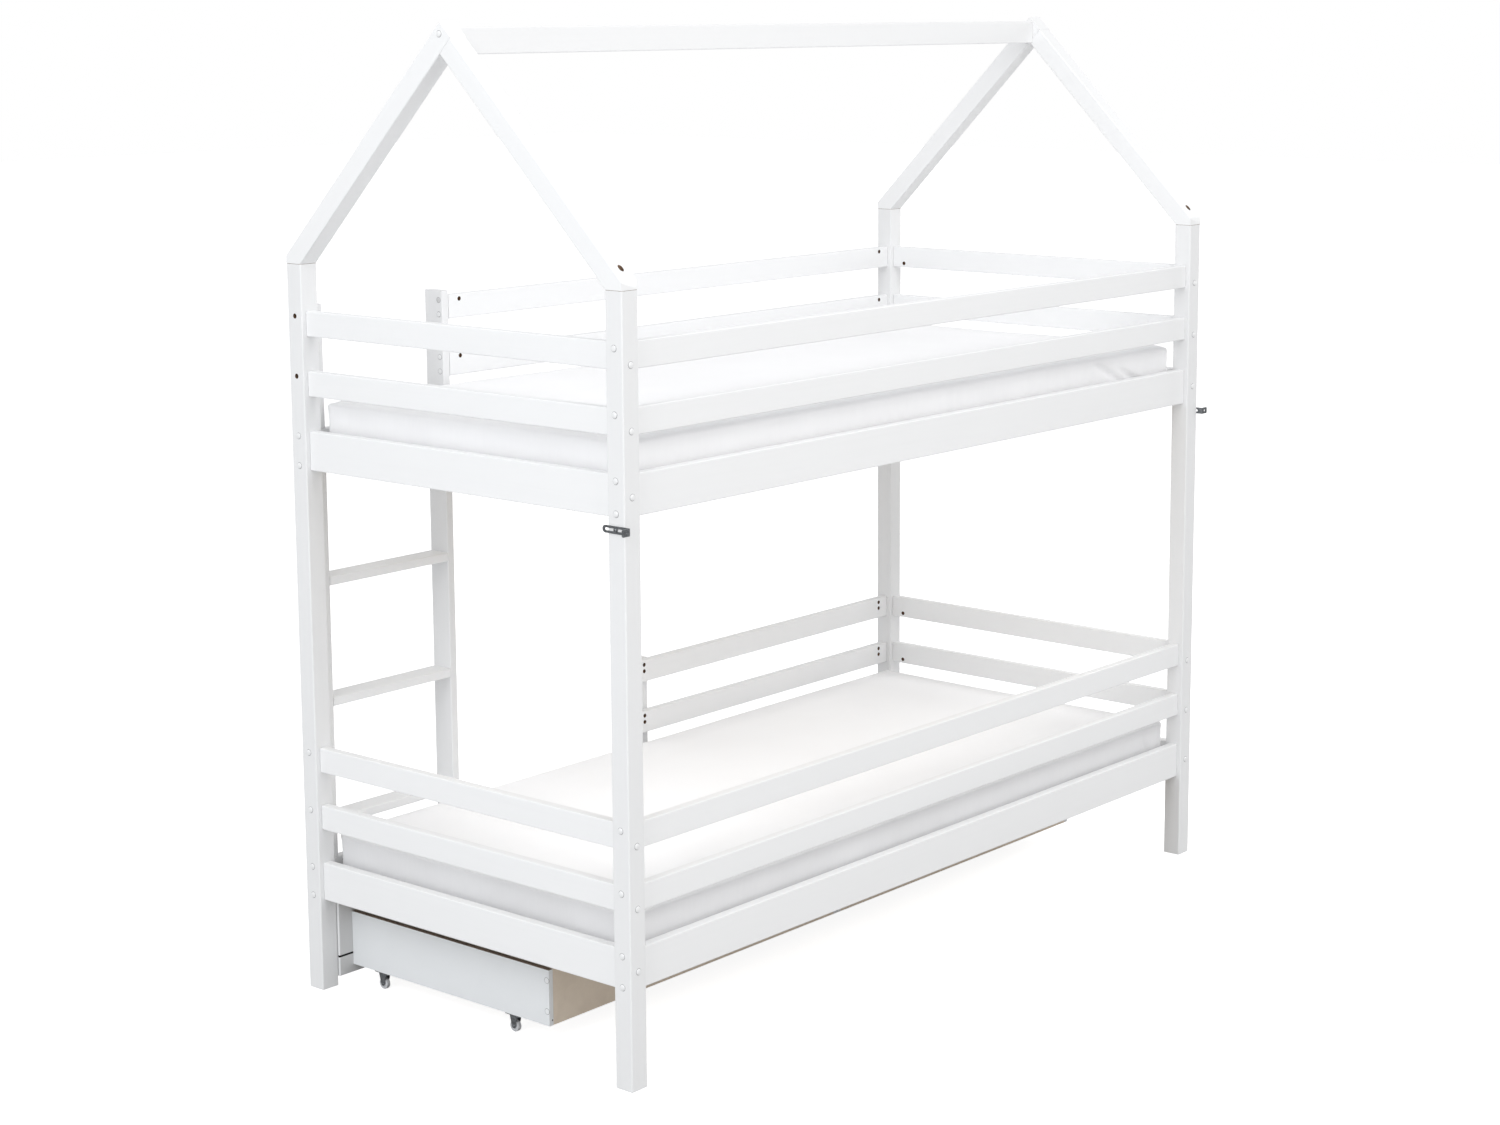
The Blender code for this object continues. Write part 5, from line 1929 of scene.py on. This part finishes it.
@dataclass
class Castor:
    """Fixed castor: plate, two tapering cheeks with a rivet through them, and a moulded wheel."""

    side: str
    number: int
    top: float
    plate_long: float = 0.046
    plate_wide: float = 0.020
    plate_thick: float = 0.0015
    plate_corner: float = 0.003
    plate_gap: float = 0.0001
    screw_share: float = 0.38
    chamfer: float = 0.0003
    let_in: float = 0.0001
    cheek_let_in: float = 0.0004
    screw_let_in: float = 0.0002
    cheek_thick: float = 0.0012
    cheek_gap: float = 0.0006
    cheek_top_half: float = 0.012
    cheek_end_radius: float = 0.005
    rivet_radius: float = 0.0033
    rivet_height: float = 0.0011
    hub_radius: float = 0.0045

    def build(self) -> Pieces:
        """Build the fork and the wheel.

        Returns:
            The finished pieces.
        """
        return [self.fork(), self.wheel()]

    @property
    def node(self) -> str:
        """Frame node of the wheel."""
        return f"{self.side}_drawer_wheel_{self.number}"

    def fork(self) -> bpy.types.Object:
        """Build the plate, the cheeks, the rivet and the plate's screws.

        Returns:
            The finished piece.
        """
        low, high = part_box(self.node)
        axle = (low + high) / 2
        half = (high.x - low.x) / 2 + self.cheek_gap
        plate_half = Vector((self.plate_wide / 2, self.plate_long / 2, 0.0))
        under = Vector((axle.x, axle.y, self.top - self.plate_thick))
        top = under + up(self.plate_thick - self.plate_gap)
        plate = Workpiece().block(under - plate_half, top + plate_half)
        fork = Workpiece().join(plate.ease(self.plate_corner, Axis.Z, 4).ease_ends(Axis.Z, self.chamfer))
        outline = self.cheek_outline(axle, under.z + self.cheek_let_in)
        thick, radius, height = self.cheek_thick, self.rivet_radius, self.rivet_height
        pin, neck = radius * 0.6, thick - self.let_in
        rivet = [(0.0, -thick), (pin, -thick), (pin, neck), (radius, neck), (radius, thick + height * 0.4),
                 (radius * 0.7, thick + height), (0.0, thick + height)]
        for way in (-1, 1):
            near = axle.x + way * half
            far = near + way * thick
            cheek = Workpiece().outline(outline, Axis.X, min(near, far), max(near, far))
            fork.join(cheek.ease_ends(Axis.X, self.chamfer))
            fork.turn(rivet, Vector((near, axle.y, axle.z)), Vector((way, 0, 0)), 20)
        for way in (-1, 1):
            at = under + Vector((0, way * self.plate_long * self.screw_share, self.screw_let_in))
            Screw(radius=0.0032, height=0.0014).add_to(fork, at, -up(1))
        body = f"{self.side}_drawer"
        return fork.finish(f"{body}_castor_{self.number}_fork", [ZINC], body, "zinc_steel")

    def cheek_outline(self, axle: Vector, top: float) -> Points:
        """Side view of a cheek: wide at the plate, and round about the axle.

        Args:
            axle: Middle of the wheel.
            top: Height of the cheek's upper edge.

        Returns:
            The outline's points across the bed and up.
        """
        points = [(axle.y + self.cheek_top_half, top), (axle.y - self.cheek_top_half, top)]
        return points + arc((axle.y, axle.z), self.cheek_end_radius, 195, 150, 8)

    def wheel(self) -> bpy.types.Object:
        """Build the wheel with its tread, its dished sides and its hub.

        Returns:
            The finished piece.
        """
        low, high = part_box(self.node)
        axle = (low + high) / 2
        half = (high.x - low.x) / 2
        radius = (high.z - low.z) / 2
        hub, dish = half * 0.96, half * 0.62
        side = [(0.0022, hub), (0.0042, hub), (0.0046, dish), (radius * 0.74, dish), (radius * 0.80, half),
                (radius - 0.0012, half), (radius - 0.0004, half * 0.88), (radius, half * 0.72)]
        profile = side + [(r, -run) for r, run in reversed(side)]
        wheel = Workpiece().turn(profile, axle, Vector((1, 0, 0)), 56, closed=True)
        wheel.mark(Workpiece.CUT_FACE, lambda at: math.hypot(at.y - axle.y, at.z - axle.z) < self.hub_radius)
        body = f"{self.side}_wheel_{self.number}"
        return wheel.finish(f"{self.node}_moulding", (WHEEL_PLASTIC, HUB_PLASTIC), body, "wheel_plastic",
                            [self.node], sharp=35.0)


@dataclass
class WallBracket:
    """Angled steel strip: a slotted leg on the post and a short leg with a hole for the wall."""

    side: str
    bed: Bed
    thick: float = 0.002
    slot_wide: float = 0.006
    slot_ends: tuple[float, float] = (0.0057, 0.0595)
    corner: float = 0.003
    end_short: float = 0.0002
    wall_hole: float = 0.00325
    wall_hole_deep: float = 0.006
    washer_radius: float = 0.0048
    washer_thick: float = 0.0006
    past: float = 0.002
    close: float = 1e-5

    def build(self) -> Pieces:
        """Build the bracket and its screw.

        Returns:
            The finished pieces.
        """
        node = f"wall_bracket_{self.side}"
        low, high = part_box(node)
        hand = math.copysign(1.0, low.x)
        face = min(abs(low.x), abs(high.x))
        out = max(abs(low.x), abs(high.x))
        middle_z = (low.z + high.z) / 2
        strip = Workpiece().outline(self.plan(face, out, low.y, high.y), Axis.Z, low.z, high.z)
        self.rounded(strip, out, low, high)
        self.slotted(strip, face, low.y, middle_z)
        wall_side = Vector(((face + self.thick + out) / 2, high.y, middle_z))
        strip.drill([Hole(wall_side, Vector((0, -1, 0)), self.wall_hole, self.wall_hole_deep)])
        if hand < 0:
            strip.transform(Matrix.Diagonal((-1, 1, 1, 1)))
            bmesh.ops.reverse_faces(strip.shape, faces=strip.shape.faces)
        pieces = [strip.finish(f"{node}_strip", (ZINC, ZINC), slot="zinc_steel", stands_for=[node])]
        screw = Workpiece()
        at = Vector((hand * (face + self.thick), self.bed.middle_y + self.bed.post_y, middle_z))
        outwards = Vector((hand, 0, 0))
        radius, thick = self.washer_radius, self.washer_thick
        screw.turn([(0.0, 0.0), (radius, 0.0), (radius, thick), (0.0, thick)], at, outwards, 28)
        Screw(radius=0.0038, height=0.0022).add_to(screw, at + outwards * thick, outwards)
        pieces.append(screw.finish(f"{node}_screw", [ZINC], slot="zinc_steel"))
        return pieces

    def plan(self, face: float, out: float, start: float, wall: float) -> Points:
        """Plan of the strip with a round outer bend.

        Args:
            face: Where it lies on the post.
            out: How far the short leg reaches.
            start: Where the long leg starts across the bed.
            wall: Where the wall stands.

        Returns:
            The outline's points along the bed and across it.
        """
        bend = (face + self.thick, wall - self.thick)
        return [(face, start), (bend[0], start), bend, (out, bend[1]), (out, wall),
                *arc(bend, self.thick, 90, 90, 5)]

    def rounded(self, strip: Workpiece, out: float, low: Vector, high: Vector) -> None:
        """Round the long leg's end and the short leg's corners.

        Args:
            strip: The bent strip, which is changed.
            out: How far the short leg reaches.
            low: Lowest corner of the bracket's box.
            high: Highest corner.
        """
        ends = self.through(strip, Axis.X, lambda at: at.y < low.y + self.close)
        strip.round_edges(ends, (high.z - low.z) / 2 - self.end_short, 10)
        tips = self.through(strip, Axis.Y, lambda at: at.x > out - self.close)
        strip.round_edges(tips, self.corner, 5)

    def through(self, strip: Workpiece, axis: Axis,
                where: Callable[[Vector], bool]) -> list[bmesh.types.BMEdge]:
        """Find the level edges that run through the strip's thickness.

        Args:
            strip: The bent strip.
            axis: The way that they run.
            where: Test that both ends of such an edge pass.

        Returns:
            The edges.
        """
        found = []
        for edge in strip.shape.edges:
            first, second = (vert.co for vert in edge.verts)
            run = first - second
            across = abs(run[axis.value]) > self.thick * 0.9 and abs(run.z) < Workpiece.SAME
            if across and where(first) and where(second):
                found.append(edge)
        return found

    def slotted(self, strip: Workpiece, face: float, start: float, height: float) -> None:
        """Cut the slot with round ends into the long leg.

        Args:
            strip: The strip, which is changed.
            face: Where it lies on the post.
            start: Where the long leg starts across the bed.
            height: Height of the slot.
        """
        radius = self.slot_wide / 2
        first, last = (start + place for place in self.slot_ends)
        points = [*arc((last - radius, height), radius, -90, 180, 12),
                  *arc((first + radius, height), radius, 90, 180, 12)]
        cutter = Workpiece().outline(points, Axis.X, face - self.past, face + self.thick + self.past)
        strip.cut(cutter)


@dataclass(frozen=True)
class PhotoCamera:
    """Camera at the photograph's angle, for a picture of 1500 x 1125."""

    place: tuple[float, float, float] = (4.8475, 4.08395, 2.1195)
    yaw: float = -2.4457
    pitch: float = -0.1601
    roll: float = -0.00395
    lens: float = 66.66
    shift: tuple[float, float] = (-0.026, -0.07)

    def build(self) -> bpy.types.Object:
        """Make the camera and set it as the scene's.

        Returns:
            The camera.
        """
        data = bpy.data.cameras.new("photo_camera")
        data.sensor_width = 36.0
        data.lens = self.lens
        data.shift_x, data.shift_y = self.shift
        data.clip_start = 0.1
        data.clip_end = 100.0
        camera = placed("photo_camera", data)
        level = math.cos(self.pitch)
        ahead = Vector((math.cos(self.yaw) * level, math.sin(self.yaw) * level, math.sin(self.pitch)))
        right = ahead.cross(up(1)).normalized()
        above = right.cross(ahead)
        turned_right = right * math.cos(self.roll) + above * math.sin(self.roll)
        turned_up = above * math.cos(self.roll) - right * math.sin(self.roll)
        turn = Matrix((turned_right, turned_up, -ahead)).transposed().to_4x4()
        camera.matrix_world = Matrix.Translation(Vector(self.place)) @ turn
        bpy.context.scene.camera = camera
        return camera


@dataclass(frozen=True)
class SoftLight:
    """A large square studio light that looks at a point."""

    name: str
    place: tuple[float, float, float]
    power: float
    colour: Colour = (1.0, 1.0, 1.0)
    size: float = 2.6
    target: tuple[float, float, float] = (0.0, 0.0, 0.9)

    def build(self) -> None:
        """Make the light."""
        data = bpy.data.lights.new(self.name, "AREA")
        data.shape = "SQUARE"
        data.size = self.size
        data.energy = self.power
        data.color = self.colour
        lamp = placed(self.name, data)
        lamp.location = self.place
        lamp.rotation_mode = "QUATERNION"
        lamp.rotation_quaternion = (Vector(self.target) - Vector(self.place)).to_track_quat("-Z", "Y")


@dataclass
class Studio:
    """Pale floor, even surroundings and soft lights."""

    floor_half: float = 30.0
    floor_colour: Colour = (0.50, 0.50, 0.50)
    floor_glow: float = 0.88
    ambient: float = 0.735
    ambient_colour: Colour = (0.985, 0.99, 1.0)
    lights: tuple[SoftLight, ...] = (
        SoftLight("high_light_at_ladder_end", (4.8, 0.8, 4.4), 80.0, (0.97, 0.985, 1.0)),
        SoftLight("high_light_at_wall_side", (0.8, 4.2, 4.6), 94.0, (1.0, 0.99, 0.98)),
        SoftLight("low_light_at_ladder_end", (4.8, 0.5, 1.3), 32.0, (0.97, 0.985, 1.0)),
        SoftLight("low_light_at_wall_side", (0.5, 4.5, 1.3), 14.0, (1.0, 0.985, 0.965)),
        SoftLight("light_at_ladder_side", (0.3, -4.5, 2.0), 24.0, (1.0, 0.975, 0.945)),
        SoftLight("light_at_far_end", (-5.0, 0.0, 2.0), 100.0, (1.0, 0.99, 0.98)),
    )

    def build(self) -> None:
        """Make the floor, the surroundings and the lights."""
        self.floor()
        self.surroundings()
        for light in self.lights:
            light.build()
        settings = bpy.context.scene.view_settings
        settings.view_transform = "Standard"
        settings.look = "None"

    def floor(self) -> None:
        """Make the floor."""
        ground = Workpiece()
        bmesh.ops.create_grid(ground.shape, x_segments=1, y_segments=1, size=self.floor_half)
        finish = Smooth("pale_floor", self.floor_colour, self.floor_colour, (0.75, 0.85),
                        bump=0.00002, clouds=0.8)
        material = finish.material()
        bench = ShaderBench(material.node_tree)
        seen = bench.node("ShaderNodeLightPath").outputs["Is Camera Ray"]
        bench.feed(material.node_tree.nodes["Principled BSDF"], {
            "Emission Color": (1.0, 1.0, 1.0, 1.0),
            "Emission Strength": bench.maths("MULTIPLY", seen, self.floor_glow)})
        placed("floor", ground.mesh("floor", [material]))

    def surroundings(self) -> None:
        """Make an even white room light, brighter where the camera looks past the bed."""
        world = bpy.data.worlds.new("studio")
        bpy.context.scene.world = world
        world.use_nodes = True
        tree = world.node_tree
        tree.nodes.clear()
        bench = ShaderBench(tree)
        lit, seen = (bench.node("ShaderNodeBackground", {"Color": (*colour, 1.0), "Strength": strength})
                     for colour, strength in ((self.ambient_colour, self.ambient), ((1.0, 1.0, 1.0), 1.0)))
        straight = bench.node("ShaderNodeLightPath").outputs["Is Camera Ray"]
        choice = bench.node("ShaderNodeMixShader", {"Fac": straight, 1: lit.outputs["Background"],
                                                    2: seen.outputs["Background"]})
        bench.node("ShaderNodeOutputWorld", {"Surface": choice.outputs["Shader"]})


def main() -> None:
    """Build the bed's sub-assemblies in order and report each piece."""
    logging.basicConfig(level=logging.INFO, format="%(message)s")
    bed = Bed()
    PhotoCamera().build()
    assemblies = [
        Posts(bed),
        Boards(bed),
        GuardUpright(),
        Ladder(bed),
        Roof(bed),
        SlattedBase(bed, Level.LOWER),
        SlattedBase(bed, Level.UPPER),
        Mattress(Level.LOWER, seed=2.0, creases=(
            Crease(1, -0.90, 0.05, 0.0030), Crease(1, 0.42, -0.04, 0.0018), Crease(-1, 0.70, 0.06, 0.0030))),
        Mattress(Level.UPPER, seed=9.0, creases=(
            Crease(1, -0.735, 0.22, 0.0085, 0.20, 1.0, 0.018),
            Crease(1, -0.795, 0.22, 0.0080, 0.15, 0.75, 0.016), Crease(-1, 0.80, -0.08, 0.0035))),
        Drawer("left", bed),
        Drawer("right", bed),
        WallBracket("left", bed),
        WallBracket("right", bed),
    ]
    for assembly in assemblies:
        for piece in assembly.build():
            LOG.info("%s: %d faces", piece.name, len(piece.data.polygons))
    Studio().build()


if __name__ == "__main__":
    main()
